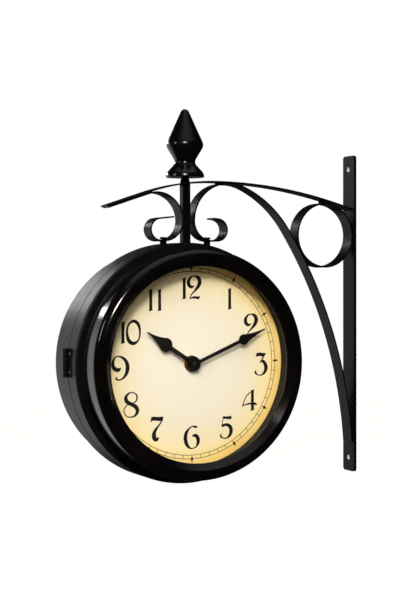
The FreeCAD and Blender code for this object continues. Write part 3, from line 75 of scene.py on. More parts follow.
def linear(hex_colour: str) -> Tuple[float, float, float, float]:
    """Turns an sRGB hex value into linear RGBA.

    Args:
        hex_colour: Six hex digits with a leading #.

    Returns:
        Red, green, blue and an alpha of one.
    """
    values = [int(hex_colour[start:start + 2], 16) / 255.0 for start in (1, 3, 5)]
    red, green, blue = (v / 12.92 if v <= 0.04045 else ((v + 0.055) / 1.055) ** 2.4 for v in values)
    return red, green, blue, 1.0


def per_metre(size_mm: float) -> float:
    """The scale of a pattern whose grains are that many millimetres across."""
    return 1.0 / (size_mm * MM)


def add_node(tree: bpy.types.NodeTree, kind: str, inputs: Optional[Dict[Any, Any]] = None,
             **settings: Any) -> bpy.types.Node:
    """Adds a node, sets it and links it.

    Args:
        tree: The tree that the node goes into.
        kind: Blender's name of the node type, without the leading ShaderNode.
        inputs: Input names or numbers, each with a value or with the socket that feeds it.
        **settings: Attributes of the node.

    Returns:
        The new node.
    """
    node = tree.nodes.new("ShaderNode" + kind)
    for name, value in settings.items():
        setattr(node, name, value)
    for name, value in (inputs or {}).items():
        if isinstance(value, Socket):
            tree.links.new(value, node.inputs[name])
        else:
            node.inputs[name].default_value = value
    return node


def ramp(tree: bpy.types.NodeTree, factor: Socket, stops: Sequence[Tuple[float, str]]) -> Socket:
    """A colour ramp between hex colours.

    Args:
        tree: The tree that the ramp goes into.
        factor: What drives the ramp.
        stops: Positions from 0 to 1, each with its hex colour.

    Returns:
        The ramp's colour output.
    """
    node = add_node(tree, "ValToRGB", {"Fac": factor})
    elements = node.color_ramp.elements
    while len(elements) < len(stops):
        elements.new(0.5)
    for element, (position, colour) in zip(elements, stops):
        element.position = position
        element.color = linear(colour)
    return node.outputs["Color"]


def spread(tree: bpy.types.NodeTree, value: Socket, low: float, high: float) -> Socket:
    """Maps a value from 0..1 onto low..high."""
    return add_node(tree, "MapRange", {"Value": value, "To Min": low, "To Max": high}).outputs["Result"]


# --------------------------------------------------------------------------- finishes

@dataclass(frozen=True)
class Finish:
    """A surface finish that can make its own material."""

    name: str = "finish"

    def material(self) -> bpy.types.Material:
        """The material, made once and then reused.

        Returns:
            The material of this finish.
        """
        found = bpy.data.materials.get(self.name)
        if found is not None:
            return found
        made = bpy.data.materials.new(self.name)
        made.use_nodes = True
        tree = made.node_tree
        tree.nodes.clear()
        shader = add_node(tree, "BsdfPrincipled")
        out = add_node(tree, "OutputMaterial")
        self.dress(tree, shader)
        tree.links.new(self.surface(tree, shader), out.inputs["Surface"])
        return made

    def dress(self, tree: bpy.types.NodeTree, shader: bpy.types.Node) -> None:
        """Sets and feeds the principled shader."""

    def surface(self, tree: bpy.types.NodeTree, shader: bpy.types.Node) -> Socket:
        """What goes to the material's output; the shader itself unless a finish needs more."""
        return shader.outputs["BSDF"]

    def place(self, tree: bpy.types.NodeTree) -> Socket:
        """Object coordinates, in metres."""
        return add_node(tree, "TexCoord").outputs["Object"]

    def noise(self, tree: bpy.types.NodeTree, size_mm: float, detail: float = 2.0) -> Socket:
        """Noise whose grains are that many millimetres across."""
        node = add_node(tree, "TexNoise", {"Vector": self.place(tree), "Scale": per_metre(size_mm),
                                           "Detail": detail})
        return node.outputs["Fac"]

    def tint(self, tree: bpy.types.NodeTree, shader: bpy.types.Node, factor: Socket,
             *stops: Tuple[float, str]) -> None:
        """Feeds a ramp between hex colours to the shader's base colour."""
        tree.links.new(ramp(tree, factor, stops), shader.inputs["Base Color"])

    def polish(self, tree: bpy.types.NodeTree, shader: bpy.types.Node, factor: Socket, low: float,
               high: float) -> None:
        """Feeds a factor, mapped onto low..high, to the shader's roughness."""
        tree.links.new(spread(tree, factor, low, high), shader.inputs["Roughness"])

    def relief(self, tree: bpy.types.NodeTree, shader: bpy.types.Node, height: Socket,
               depth_mm: float) -> None:
        """Feeds a bump of a depth in millimetres to the shader's normal."""
        bump = add_node(tree, "Bump", {"Height": height, "Distance": depth_mm * MM, "Strength": 1.0})
        tree.links.new(bump.outputs["Normal"], shader.inputs["Normal"])


@dataclass(frozen=True)
class StoveEnamel(Finish):
    """Black stove enamel sprayed on sheet steel and baked.

    It is a deep, faintly brown black with a clear gloss.  The spray leaves a low orange peel that
    breaks the edges of a highlight, and dust in the film makes the gloss a little uneven.
    """

    name: str = "black_stove_enamel_on_steel"
    deep: str = "#070505"
    worn: str = "#120e0e"
    gloss: Tuple[float, float] = (0.08, 0.15)
    shine: float = 0.5
    index: float = 1.5
    drift_mm: float = 34.0
    dust_mm: float = 7.0
    peel_mm: float = 2.6
    peel_depth_mm: float = 0.012

    def dress(self, tree: bpy.types.NodeTree, shader: bpy.types.Node) -> None:
        """A slow colour drift, uneven gloss and the orange peel."""
        drift = self.noise(tree, self.drift_mm, 4.0)
        self.tint(tree, shader, drift, (0.35, self.deep), (0.75, self.worn))
        dust = self.noise(tree, self.dust_mm, 5.0)
        self.polish(tree, shader, dust, *self.gloss)
        shader.inputs["IOR"].default_value = self.index
        shader.inputs["Specular IOR Level"].default_value = self.shine
        self.relief(tree, shader, self.noise(tree, self.peel_mm, 1.0), self.peel_depth_mm)


@dataclass(frozen=True)
class DrilledEnamel(StoveEnamel):
    """Stove enamel on the wall plate, whose two holes were drilled through it afterwards.

    Painted light: the bore walls are painted plain white, standing in for the light seen through the holes, so
    they show bright against the paint.
    """

    hole_height_mm: float = 144.8
    bore_mm: float = 2.5
    painted_bore_light: str = "#ffffff"

    def dress(self, tree: bpy.types.NodeTree, shader: bpy.types.Node) -> None:
        """Paint, and painted white light inside the radius of the two bores round the X axis."""
        super().dress(tree, shader)
        split = add_node(tree, "SeparateXYZ", {0: self.place(tree)})
        height = add_node(tree, "Math", {0: split.outputs["Z"]}, operation="ABSOLUTE")
        above = add_node(tree, "Math", {0: height.outputs["Value"], 1: self.hole_height_mm * MM},
                         operation="SUBTRACT")
        offset = add_node(tree, "CombineXYZ", {"Y": split.outputs["Y"], "Z": above.outputs["Value"]})
        distance = add_node(tree, "VectorMath", {0: offset.outputs["Vector"]}, operation="LENGTH")
        inside = add_node(tree, "Math", {0: distance.outputs["Value"], 1: self.bore_mm * MM},
                          operation="LESS_THAN")
        # Painted light: plain white inside the bores, for the bright backdrop seen through the holes.
        painted = shader.inputs["Base Color"].links[0].from_socket
        mix = add_node(tree, "MixRGB", {"Fac": inside.outputs["Value"], "Color1": painted,
                                        "Color2": linear(self.painted_bore_light)})
        tree.links.new(mix.outputs["Color"], shader.inputs["Base Color"])


@dataclass(frozen=True)
class BlackOxide(Finish):
    """Steel screws and pins blackened in a hot salt bath, then oiled: satin, a touch blue."""

    name: str = "black_oxide_steel"
    grain_mm: float = 0.9

    def dress(self, tree: bpy.types.NodeTree, shader: bpy.types.Node) -> None:
        """Dark metal with a fine grain in its colour and gloss."""
        grain = self.noise(tree, self.grain_mm, 3.0)
        self.tint(tree, shader, grain, (0.3, "#1a1a1c"), (0.8, "#2b2a2c"))
        self.polish(tree, shader, grain, 0.28, 0.42)
        shader.inputs["Metallic"].default_value = 1.0


@dataclass(frozen=True)
class ZincPlate(Finish):
    """Zinc plated steel, passivated: pale grey metal with a faint yellow bloom in spots."""

    name: str = "zinc_plated_steel"
    bloom_mm: float = 3.2
    spot_mm: float = 1.1

    def dress(self, tree: bpy.types.NodeTree, shader: bpy.types.Node) -> None:
        """Bloom, and gloss that differs from spot to spot."""
        bloom = self.noise(tree, self.bloom_mm, 4.0)
        self.tint(tree, shader, bloom, (0.32, "#b9bbb9"), (0.62, "#c9c5b4"))
        self.polish(tree, shader, self.noise(tree, self.spot_mm), 0.25, 0.45)
        shader.inputs["Metallic"].default_value = 1.0


@dataclass(frozen=True)
class FloatGlass(Finish):
    """Clear float glass, cut flat: nearly colourless, with both faces mirror smooth.

    A shadow ray passes straight through it, so that the dial behind it is lit as through real glass.
    """

    name: str = "clear_float_glass"
    index: float = 1.45
    wipe_mm: float = 60.0
    haze: float = 0.03

    def dress(self, tree: bpy.types.NodeTree, shader: bpy.types.Node) -> None:
        """Full transmission, and a trace of wiping marks in the gloss."""
        shader.inputs["Base Color"].default_value = linear("#fcfefd")
        shader.inputs["IOR"].default_value = self.index
        shader.inputs["Transmission Weight"].default_value = 1.0
        wipes = self.noise(tree, self.wipe_mm, 2.0)
        self.polish(tree, shader, wipes, 0.0, self.haze)

    def surface(self, tree: bpy.types.NodeTree, shader: bpy.types.Node) -> Socket:
        """Glass, but clear to shadow rays."""
        path = add_node(tree, "LightPath")
        clear = add_node(tree, "BsdfTransparent", {"Color": linear("#f7faf8")})
        mix = add_node(tree, "MixShader", {0: path.outputs["Is Shadow Ray"], 1: shader.outputs["BSDF"],
                                           2: clear.outputs["BSDF"]})
        return mix.outputs["Shader"]


@dataclass(frozen=True)
class Rubber(Finish):
    """Cut EPDM sheet: black, dull, with the fine grain of the pressed sheet."""

    name: str = "epdm_rubber_sheet"
    dullness: float = 0.75
    grain_mm: float = 0.6
    grain_depth_mm: float = 0.03

    def dress(self, tree: bpy.types.NodeTree, shader: bpy.types.Node) -> None:
        """Dull black with a fine grain."""
        grain = self.noise(tree, self.grain_mm, 3.0)
        self.tint(tree, shader, grain, (0.3, "#161616"), (0.8, "#232322"))
        shader.inputs["Roughness"].default_value = self.dullness
        self.relief(tree, shader, grain, self.grain_depth_mm)


@dataclass(frozen=True)
class MouldedPlastic(Finish):
    """Injection moulded plastic with a spark-eroded texture: even, with a soft sheen."""

    name: str = "moulded_black_abs"
    deep: str = "#111113"
    light: str = "#1c1c1f"
    gloss: Tuple[float, float] = (0.6, 0.75)
    shine: float = 0.2
    flow_mm: float = 22.0
    grain_mm: float = 0.8
    grain_depth_mm: float = 0.02

    def dress(self, tree: bpy.types.NodeTree, shader: bpy.types.Node) -> None:
        """Fine texture over an even colour."""
        grain = self.noise(tree, self.grain_mm, 2.0)
        flow = self.noise(tree, self.flow_mm, 2.0)
        self.tint(tree, shader, flow, (0.3, self.deep), (0.75, self.light))
        self.polish(tree, shader, grain, *self.gloss)
        shader.inputs["Specular IOR Level"].default_value = self.shine
        self.relief(tree, shader, grain, self.grain_depth_mm)


@dataclass(frozen=True)
class DialEnamel(Finish):
    """Lacquered dial, sprayed cream in the middle and fading to old gold at the rim.

    The fade is a ring pattern round the dial's own axis, a little uneven as an airbrush leaves it.
    The back, seen only with the door open, keeps its plain pale primer.
    """

    name: str = "lacquered_cream_dial"
    axis: Tuple[float, float] = (-0.186, -0.0436)
    radius_mm: float = 104.0
    seam_y: float = 0.0137
    primer: str = "#cfccc4"
    cloud_mm: float = 46.0
    cloud_reach_mm: float = 5.0
    lacquer_mm: float = 1.6
    shine: float = 0.3
    fade: Tuple[Tuple[float, str], ...] = (
        (0.0, "#f7eadb"), (0.48, "#f7e9d4"), (0.65, "#fbe8c8"), (0.77, "#ffe8b8"), (0.84, "#ffdf9a"),
        (0.92, "#fbcf78"), (1.0, "#e9b85c"))

    def dress(self, tree: bpy.types.NodeTree, shader: bpy.types.Node) -> None:
        """Distance from the axis, blurred a little by noise, drives the fade."""
        flat = add_node(tree, "Mapping", {"Vector": self.place(tree),
                                          "Location": (-self.axis[0], 0.0, -self.axis[1]),
                                          "Scale": (1.0, 0.0, 1.0)}, vector_type="POINT")
        distance = add_node(tree, "VectorMath", {0: flat.outputs["Vector"]}, operation="LENGTH")
        cloud = spread(tree, self.noise(tree, self.cloud_mm, 3.0), -self.cloud_reach_mm * MM,
                       self.cloud_reach_mm * MM)
        blurred = add_node(tree, "Math", {0: distance.outputs["Value"], 1: cloud}, operation="ADD")
        share = add_node(tree, "Math", {0: blurred.outputs["Value"], 1: self.radius_mm * MM},
                         operation="DIVIDE")
        sprayed = ramp(tree, share.outputs["Value"], self.fade)
        tree.links.new(self.front_only(tree, sprayed), shader.inputs["Base Color"])
        lacquer = self.noise(tree, self.lacquer_mm, 2.0)
        self.polish(tree, shader, lacquer, 0.42, 0.55)
        shader.inputs["Specular IOR Level"].default_value = self.shine

    def front_only(self, tree: bpy.types.NodeTree, sprayed: Socket) -> Socket:
        """The sprayed colour on the side that looks away from the drum's seam, primer on the other.

        Args:
            tree: The material's node tree.
            sprayed: The colour of the fade.

        Returns:
            The colour of both sides.
        """
        coordinates = add_node(tree, "TexCoord")
        place = add_node(tree, "SeparateXYZ", {0: coordinates.outputs["Object"]})
        facing = add_node(tree, "SeparateXYZ", {0: coordinates.outputs["Normal"]})
        from_seam = add_node(tree, "Math", {0: place.outputs["Y"], 1: self.seam_y}, operation="SUBTRACT")
        away = add_node(tree, "Math", {0: from_seam.outputs["Value"], 1: facing.outputs["Y"]},
                        operation="MULTIPLY")
        front = add_node(tree, "Math", {0: away.outputs["Value"], 1: 0.0}, operation="GREATER_THAN")
        mix = add_node(tree, "MixRGB", {"Fac": front.outputs["Value"], "Color1": linear(self.primer),
                                        "Color2": sprayed})
        return mix.outputs["Color"]


@dataclass(frozen=True)
class DialInk(Finish):
    """Screen printed ink on the dial: dense warm black, slightly dull, thinner here and there."""

    name: str = "screen_printed_black_ink"
    dense: str = "#0c0906"
    thin: str = "#1a130b"
    spot_mm: float = 1.2
    dullness: float = 0.6
    shine: float = 0.2

    def dress(self, tree: bpy.types.NodeTree, shader: bpy.types.Node) -> None:
        """Dense black with slightly thinner spots."""
        spots = self.noise(tree, self.spot_mm, 2.0)
        self.tint(tree, shader, spots, (0.4, self.dense), (0.8, self.thin))
        shader.inputs["Roughness"].default_value = self.dullness
        shader.inputs["Specular IOR Level"].default_value = self.shine


@dataclass(frozen=True)
class CellSleeve(Finish):
    """Shrink sleeve of a round cell: dark green film with a copper coloured end band."""

    name: str = "printed_shrink_sleeve"
    middle_x: float = -0.186
    half_length_mm: float = 26.0
    band_from_mm: float = 13.0
    film_mm: float = 2.0
    sleeve: Tuple[str, str] = ("#12301f", "#173a27")
    band: Tuple[str, str] = ("#a8663a", "#b87446")

    def dress(self, tree: bpy.types.NodeTree, shader: bpy.types.Node) -> None:
        """The band starts at a distance from the cell's middle, towards one end."""
        split = add_node(tree, "SeparateXYZ", {0: self.place(tree)})
        side = add_node(tree, "Math", {0: split.outputs["X"], 1: self.middle_x}, operation="SUBTRACT")
        reach = self.half_length_mm * MM
        share = add_node(tree, "MapRange", {"Value": side.outputs["Value"], "From Min": -reach,
                                            "From Max": reach})
        edge = 0.5 + self.band_from_mm / (2.0 * self.half_length_mm)
        self.tint(tree, shader, share.outputs["Result"], (0.0, self.sleeve[0]), (edge, self.sleeve[1]),
                  (edge + 0.01, self.band[0]), (1.0, self.band[1]))
        self.polish(tree, shader, self.noise(tree, self.film_mm), 0.18, 0.3)


@dataclass(frozen=True)
class TurnedBrass(Finish):
    """Brass turned on a lathe and lacquered: warm yellow metal, its gloss a little uneven."""

    name: str = "turned_brass"
    tarnish_mm: float = 2.4
    polish_mm: float = 0.7

    def dress(self, tree: bpy.types.NodeTree, shader: bpy.types.Node) -> None:
        """Warm metal with a slight tarnish."""
        tarnish = self.noise(tree, self.tarnish_mm, 4.0)
        self.tint(tree, shader, tarnish, (0.3, "#c78f3a"), (0.75, "#e0ae55"))
        self.polish(tree, shader, self.noise(tree, self.polish_mm), 0.2, 0.34)
        shader.inputs["Metallic"].default_value = 1.0


@dataclass(frozen=True)
class HandEnamel(Finish):
    """Stamped aluminium hands dipped in black enamel: smooth, a soft gloss, pooled in places."""

    name: str = "dipped_black_enamel"
    pool_mm: float = 5.0

    def dress(self, tree: bpy.types.NodeTree, shader: bpy.types.Node) -> None:
        """Deep black with a low gloss."""
        pool = self.noise(tree, self.pool_mm, 2.0)
        self.tint(tree, shader, pool, (0.35, "#060504"), (0.8, "#100c0a"))
        self.polish(tree, shader, pool, 0.3, 0.4)


FINISHES: Dict[str, Finish] = {
    "black_paint": StoveEnamel(),
    "black_steel": BlackOxide(),
    "zinc_steel": ZincPlate(),
    "lens_glass": FloatGlass(),
    "seal_rubber": Rubber(),
    "tunnel_plastic": MouldedPlastic(),
    "dial_print": DialEnamel(),
    "movement_plastic": MouldedPlastic(name="moulded_charcoal_abs", deep="#1b1c1f", light="#26272b",
                                       gloss=(0.45, 0.6), shine=0.5, grain_mm=1.0),
    "battery_sleeve": CellSleeve(),
    "brass": TurnedBrass(),
    "hand_enamel": HandEnamel(),
}


SATIN_DRUM = StoveEnamel(name="satin_stove_enamel_on_drum", gloss=(0.36, 0.46), shine=0.30, peel_mm=3.4)
SATIN_BRACKET = StoveEnamel(name="satin_stove_enamel_on_bracket", gloss=(0.30, 0.40), shine=0.10,
                            peel_mm=1.8)
PLATE_PAINT = DrilledEnamel(name="satin_stove_enamel_on_drilled_plate", gloss=(0.30, 0.40), shine=0.10,
                            peel_mm=1.8)
TURNED_PAINT = StoveEnamel(name="stove_enamel_on_turned_finial", gloss=(0.17, 0.25), shine=0.5, peel_mm=2.6)

# The paint of each painted node that differs from the bracket's: the drum has a satin paint of its own,
# the finial is glossier, and the front bezel has the full gloss.
NODE_PAINT: Dict[str, Finish] = {
    "bezel_front": FINISHES["black_paint"],
    "finial": TURNED_PAINT,
    "wall_plate": PLATE_PAINT,
    **dict.fromkeys(("case_front", "case_rear", "bezel_rear", "hinge_leaf_front", "hinge_leaf_rear"),
                    SATIN_DRUM),
}


def finish_of(node: str, slot: str) -> Finish:
    """The finish of a CAD node: that of its slot, or for a painted node its own paint."""
    if slot != "black_paint":
        return FINISHES[slot]
    return NODE_PAINT.get(node, SATIN_BRACKET)


# --------------------------------------------------------------------------- mesh helpers

@dataclass
class MeshParts:
    """Vertices and faces gathered from several shapes of one piece."""

    vertices: List[np.ndarray] = field(default_factory=list)
    faces: List[Tuple[int, ...]] = field(default_factory=list)
    count: int = 0

    def add(self, vertices: np.ndarray, faces: Sequence[Sequence[int]]) -> None:
        """Adds one shape.

        Args:
            vertices: An array of points, one row each.
            faces: Corner numbers of each face, counted within this shape.
        """
        self.vertices.append(vertices)
        self.faces.extend(tuple(int(corner) + self.count for corner in face) for face in faces)
        self.count += len(vertices)

    def piece(self, name: str, finish: Finish, slot: str, body: str,
              smooth: bool = False) -> bpy.types.Object:
        """Makes the mesh object, dresses it and lets it ride.

        Args:
            name: The piece's name.
            finish: Its finish.
            slot: Not used; the material comes from the finish argument.
            body: The CAD body that carries it.
            smooth: Whether its faces are shaded smooth.

        Returns:
            The new object.
        """
        mesh = bpy.data.meshes.new(name)
        mesh.from_pydata(np.concatenate(self.vertices).tolist(), [], self.faces)
        mesh.polygons.foreach_set("use_smooth", np.full(len(mesh.polygons), smooth))
        mesh.update()
        made = bpy.data.objects.new(name, mesh)
        bpy.context.scene.collection.objects.link(made)
        mesh.materials.append(finish.material())
        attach(made, body)
        LOG.info("piece %s: %d faces", name, len(mesh.polygons))
        return made


def grid_faces(rows: int, columns: int, wrap_rows: bool = False, wrap_columns: bool = False) -> np.ndarray:
    """Four-cornered faces between the points of a grid, all turned the same way.

    Args:
        rows: Number of rows of points.
        columns: Number of points in a row.
        wrap_rows: Whether the last row joins the first.
        wrap_columns: Whether the last column joins the first.

    Returns:
        Corner numbers, one row per face.
    """
    row = np.arange(rows if wrap_rows else rows - 1)
    column = np.arange(columns if wrap_columns else columns - 1)
    first, second = np.meshgrid(row, column, indexing="ij")
    after, beside = (first + 1) % rows, (second + 1) % columns
    corners = (first * columns + second, first * columns + beside, after * columns + beside,
               after * columns + second)
    return np.stack([corner.ravel() for corner in corners], axis=1)


def smooth_path(points: np.ndarray, closed: bool, steps: int) -> np.ndarray:
    """A smooth path through control points, with any extra columns carried along.

    Between two points the path is the cubic whose slope at each point is half the step from the
    point before to the point after (a Catmull-Rom spline).

    Args:
        points: One row per control point.
        closed: Whether the path returns to its start.
        steps: Samples per stretch.

    Returns:
        The sampled rows.
    """
    if closed:
        padded = np.concatenate([points[-1:], points, points[:2]])
    else:
        padded = np.concatenate([2 * points[:1] - points[1:2], points, 2 * points[-1:] - points[-2:-1]])
    share = np.linspace(0.0, 1.0, steps, endpoint=False)[None, :, None]
    before, start, end, after = (padded[k:len(padded) - 3 + k, None, :] for k in range(4))
    path = 0.5 * (2 * start + (end - before) * share + (2 * before - 5 * start + 4 * end - after) * share ** 2
                  + (3 * start - before - 3 * end + after) * share ** 3)
    path = path.reshape(-1, points.shape[1])
    return path if closed else np.concatenate([path, points[-1:]])


def turned(profile: np.ndarray, around: int) -> Tuple[np.ndarray, np.ndarray]:
    """A closed profile turned once round the z axis of the face frame.

    A point at radius r and level z goes to (r cos t, r sin t, z) for t from 0 to a full turn.

    Args:
        profile: Rows of radius and level, in order round the closed outline.
        around: Number of steps round the axis.

    Returns:
        Points and faces.
    """
    angle = np.linspace(0.0, 2.0 * math.pi, around, endpoint=False)[:, None]
    radius, level = profile[None, :, 0], profile[None, :, 1]
    points = np.stack([radius * np.cos(angle), radius * np.sin(angle), level + 0.0 * angle], axis=-1)
    return points.reshape(-1, 3), grid_faces(around, len(profile), True, True)


def dome(radius: float, height: float, around: int = 20, rings: int = 5) -> Tuple[np.ndarray, np.ndarray]:
    """A closed low dome that stands on z = 0.

    Ring k lies at radius r cos(a) and height h sin(a), with a from 0 at the rim to a right angle
    at the top; the foot is one flat face.

    Args:
        radius: Of the rim.
        height: Of the top.
        around: Steps round.
        rings: Steps from rim to top.

    Returns:
        Points, and faces as rows of corner numbers of equal length.
    """
    lift = np.linspace(0.0, math.pi / 2, rings, endpoint=False)[:, None]
    angle = np.linspace(0.0, 2.0 * math.pi, around, endpoint=False)[None, :]
    points = np.stack([radius * np.cos(lift) * np.cos(angle), radius * np.cos(lift) * np.sin(angle),
                       height * np.sin(lift) + 0.0 * angle], axis=-1).reshape(-1, 3)
    top = len(points)
    points = np.concatenate([points, [[0.0, 0.0, height]]])
    faces = [tuple(face) for face in grid_faces(rings, around, False, True)]
    last = (rings - 1) * around
    faces += [(last + k, last + (k + 1) % around, top) for k in range(around)]
    faces.append(tuple(range(around - 1, -1, -1)))
    return points, faces


# --------------------------------------------------------------------------- the two faces

class Side(Enum):
    """The two faces of the clock, with the body that carries each."""

    FRONT = "front"
    REAR = "rear"

    @property
    def body(self) -> str:
        """The CAD body that carries this face."""
        return "bracket_and_front" if self is Side.FRONT else "door"


@dataclass(frozen=True)
class FaceFrame:
    """The place of one face: origin on the drum's axis in the seam plane, z towards the reader."""

    side: Side
    axis_x: float = -186.0
    axis_z: float = -43.6
    seam_y: float = 13.7

    def world(self, points: np.ndarray) -> np.ndarray:
        """Points of the face frame, in millimetres, as points of the clock's frame, in metres.

        On the front face x stays, y becomes +Z and z becomes -Y; the rear face is that turned half
        way round the upright axis.
        """
        turn = 1.0 if self.side is Side.FRONT else -1.0
        moved = np.stack([self.axis_x + turn * points[:, 0], self.seam_y - turn * points[:, 2],
                          self.axis_z + points[:, 1]], axis=1)
        return moved * MM


def slab(outline: np.ndarray, low: float, high: float) -> Tuple[np.ndarray, List[Tuple[int, ...]]]:
    """A flat outline with a thickness.

    Args:
        outline: Corners in order, anticlockwise seen from the reader.
        low: Level of the back.
        high: Level of the front.

    Returns:
        Points and faces.
    """
    count = len(outline)
    area = np.sum(outline[:, 0] * np.roll(outline[:, 1], -1) - outline[:, 1] * np.roll(outline[:, 0], -1))
    loop = outline if area > 0 else outline[::-1]
    points = np.concatenate([np.column_stack([loop, np.full(count, level)]) for level in (low, high)])
    sides = [(k, (k + 1) % count, count + (k + 1) % count, count + k) for k in range(count)]
    return points, sides + [tuple(range(count, 2 * count)), tuple(range(count - 1, -1, -1))]


# Printed ink spreads a little past the drawn stroke, and no stroke is thinner than a hairline.
INK_SPREAD = 1.14
HAIRLINE = 0.25


def brush(stroke: Stroke, low: float, high: float, closed: bool = False,
          steps: int = 7) -> Tuple[np.ndarray, List[Tuple[int, ...]]]:
    """A pen stroke of changing width, with a thickness.

    The stroke's middle line is a smooth path; each point is moved to both sides, square to the
    path, by half the width there, once at the low and once at the high level.

    Args:
        stroke: Places and widths.
        low: Level of the back.
        high: Level of the front.
        closed: Whether the stroke returns to its start.
        steps: Samples between two places.

    Returns:
        Points and faces.
    """
    path = smooth_path(np.array(stroke, dtype=float), closed, steps)
    place, width = path[:, :2], np.maximum(path[:, 2:3], HAIRLINE) * INK_SPREAD
    if closed:
        run = np.roll(place, -1, axis=0) - np.roll(place, 1, axis=0)
    else:
        run = np.gradient(place, axis=0)
    run /= np.linalg.norm(run, axis=1, keepdims=True)
    left = np.stack([-run[:, 1], run[:, 0]], axis=1) * width / 2.0
    rows = len(place)
    ring = np.stack([np.column_stack([place + left, np.full(rows, high)]),
                     np.column_stack([place + left, np.full(rows, low)]),
                     np.column_stack([place - left, np.full(rows, low)]),
                     np.column_stack([place - left, np.full(rows, high)])], axis=1)
    faces = [tuple(face) for face in grid_faces(rows, 4, closed, True)]
    if not closed:
        faces += [(0, 1, 2, 3), tuple(4 * (rows - 1) + k for k in (3, 2, 1, 0))]
    return ring.reshape(-1, 3), faces


@dataclass(frozen=True)
class Glyph:
    """One figure: pen strokes with widths, closed pen strokes, and cut shapes, in millimetres."""

    strokes: Sequence[Stroke] = ()
    loops: Sequence[Stroke] = ()
    shapes: Sequence[Sequence[Point]] = ()


ONE = Glyph(shapes=(((-2.4, 9.0), (2.0, 10.5), (1.55, 8.4), (1.55, -8.3), (2.3, -9.3), (-2.3, -10.5),
                     (-1.5, -8.6), (-1.5, 8.2)),))
TWO = Glyph(
    strokes=(((0.1, 1.8, 0.7), (-3.1, 0.5, 2.3), (-5.7, 2.6, 3.2), (-6.2, 6.0, 2.9), (-3.9, 9.6, 1.6),
              (-0.1, 10.9, 1.0), (3.9, 9.3, 3.0), (5.5, 5.4, 3.5), (3.9, 1.1, 3.0), (0.2, -3.1, 1.6),
              (-3.3, -6.7, 1.0), (-5.0, -10.4, 0.8)),),
    shapes=(((-5.2, -11.2), (-3.1, -8.8), (-0.1, -8.0), (3.7, -8.4), (6.2, -7.8), (4.6, -11.2),
             (1.2, -10.4), (-2.3, -10.2)),))
THREE = Glyph(
    strokes=(((5.1, 9.9, 0.7), (2.4, 6.8, 1.2), (0.7, 4.0, 1.0)),
             ((-1.5, 1.6, 0.7), (1.5, 2.7, 2.5), (4.1, 0.4, 3.1), (5.4, -3.6, 3.5), (4.0, -7.9, 2.6),
              (0.6, -10.7, 1.2), (-3.4, -10.6, 1.0), (-5.7, -8.9, 1.6), (-6.7, -7.5, 1.9)),
             ((-6.8, -7.6, 1.4), (-5.3, -6.1, 0.6))),
    shapes=(((-6.1, 7.0), (-4.7, 10.7), (-1.4, 11.0), (3.1, 10.3), (5.7, 10.2), (2.6, 7.0), (-1.4, 7.7)),))
FOUR = Glyph(
    strokes=(((-1.2, 7.8, 1.0), (-5.2, 4.6, 0.9), (-7.8, 0.6, 0.9), (-9.4, -4.1, 0.8)),
             ((-10.4, -5.4, 0.7), (-6.6, -3.9, 1.1), (-1.0, -3.3, 1.6), (3.2, -3.5, 2.2), (6.2, -4.4, 0.5)),
             ((-10.2, -5.6, 0.7), (-9.3, -3.4, 0.8))),
    shapes=tuple(tuple((x + 0.9, y) for x, y in shape) for shape in ONE.shapes))
FIVE = Glyph(
    strokes=(((-3.3, 9.9, 0.8), (-4.0, 6.0, 0.7), (-4.5, 1.6, 0.7)),
             ((-4.9, 1.3, 2.5), (-1.6, 2.3, 2.2), (1.7, 2.0, 2.8), (4.4, -0.2, 3.2), (5.1, -4.0, 3.3),
              (3.6, -8.0, 2.5), (0.2, -10.5, 1.2), (-3.5, -10.2, 1.0), (-5.6, -8.8, 1.6), (-6.4, -7.4, 1.9)),
             ((-6.5, -7.4, 1.4), (-5.2, -6.1, 0.6))),
    shapes=(((-3.6, 10.8), (0.2, 10.2), (3.5, 10.4), (5.8, 10.6), (5.4, 7.3), (1.2, 7.7), (-3.0, 8.2)),))
SIX = Glyph(strokes=(((6.2, 9.9, 0.5), (4.0, 9.9, 2.1), (1.0, 10.6, 1.0), (-2.6, 8.8, 1.4), (-5.6, 4.9, 2.8),
                      (-6.7, -0.2, 3.3), (-5.4, -5.8, 3.0), (-2.4, -9.4, 1.8), (0.6, -10.2, 0.9),
                      (4.3, -9.0, 1.2), (6.5, -5.5, 2.6), (6.6, -1.7, 3.3), (4.9, 1.3, 3.0), (2.4, 1.9, 2.2),
                      (0.6, 0.9, 0.8)),))
SEVEN = Glyph(
    strokes=(((6.1, 8.6, 0.8), (3.8, 5.3, 1.2), (0.3, 1.2, 1.8), (-2.3, -2.7, 3.0), (-2.9, -6.7, 3.9),
              (-1.5, -9.5, 3.6), (0.5, -9.4, 2.7), (1.9, -7.6, 0.9)),),
    shapes=(((-6.9, 6.8), (-5.3, 11.6), (-2.7, 11.8), (1.8, 11.2), (6.9, 11.5), (6.5, 8.3), (5.3, 7.2),
             (0.8, 7.6), (-3.7, 8.2)),))
EIGHT = Glyph(loops=(((-5.8, 6.5, 3.0), (-4.5, 3.0, 3.3), (0.0, 0.4, 3.1), (4.2, -2.0, 3.4), (5.9, -5.6, 3.2),
                      (4.2, -9.6, 2.0), (0.0, -11.4, 1.0), (-5.0, -10.2, 0.9), (-7.6, -5.5, 0.9),
                      (-5.7, -1.2, 0.9), (-1.6, 0.8, 0.9), (1.8, 1.7, 0.9), (4.6, 3.4, 1.2), (5.6, 7.0, 1.4),
                      (4.2, 10.0, 1.1), (0.0, 11.4, 0.9), (-3.8, 9.8, 1.8)),))
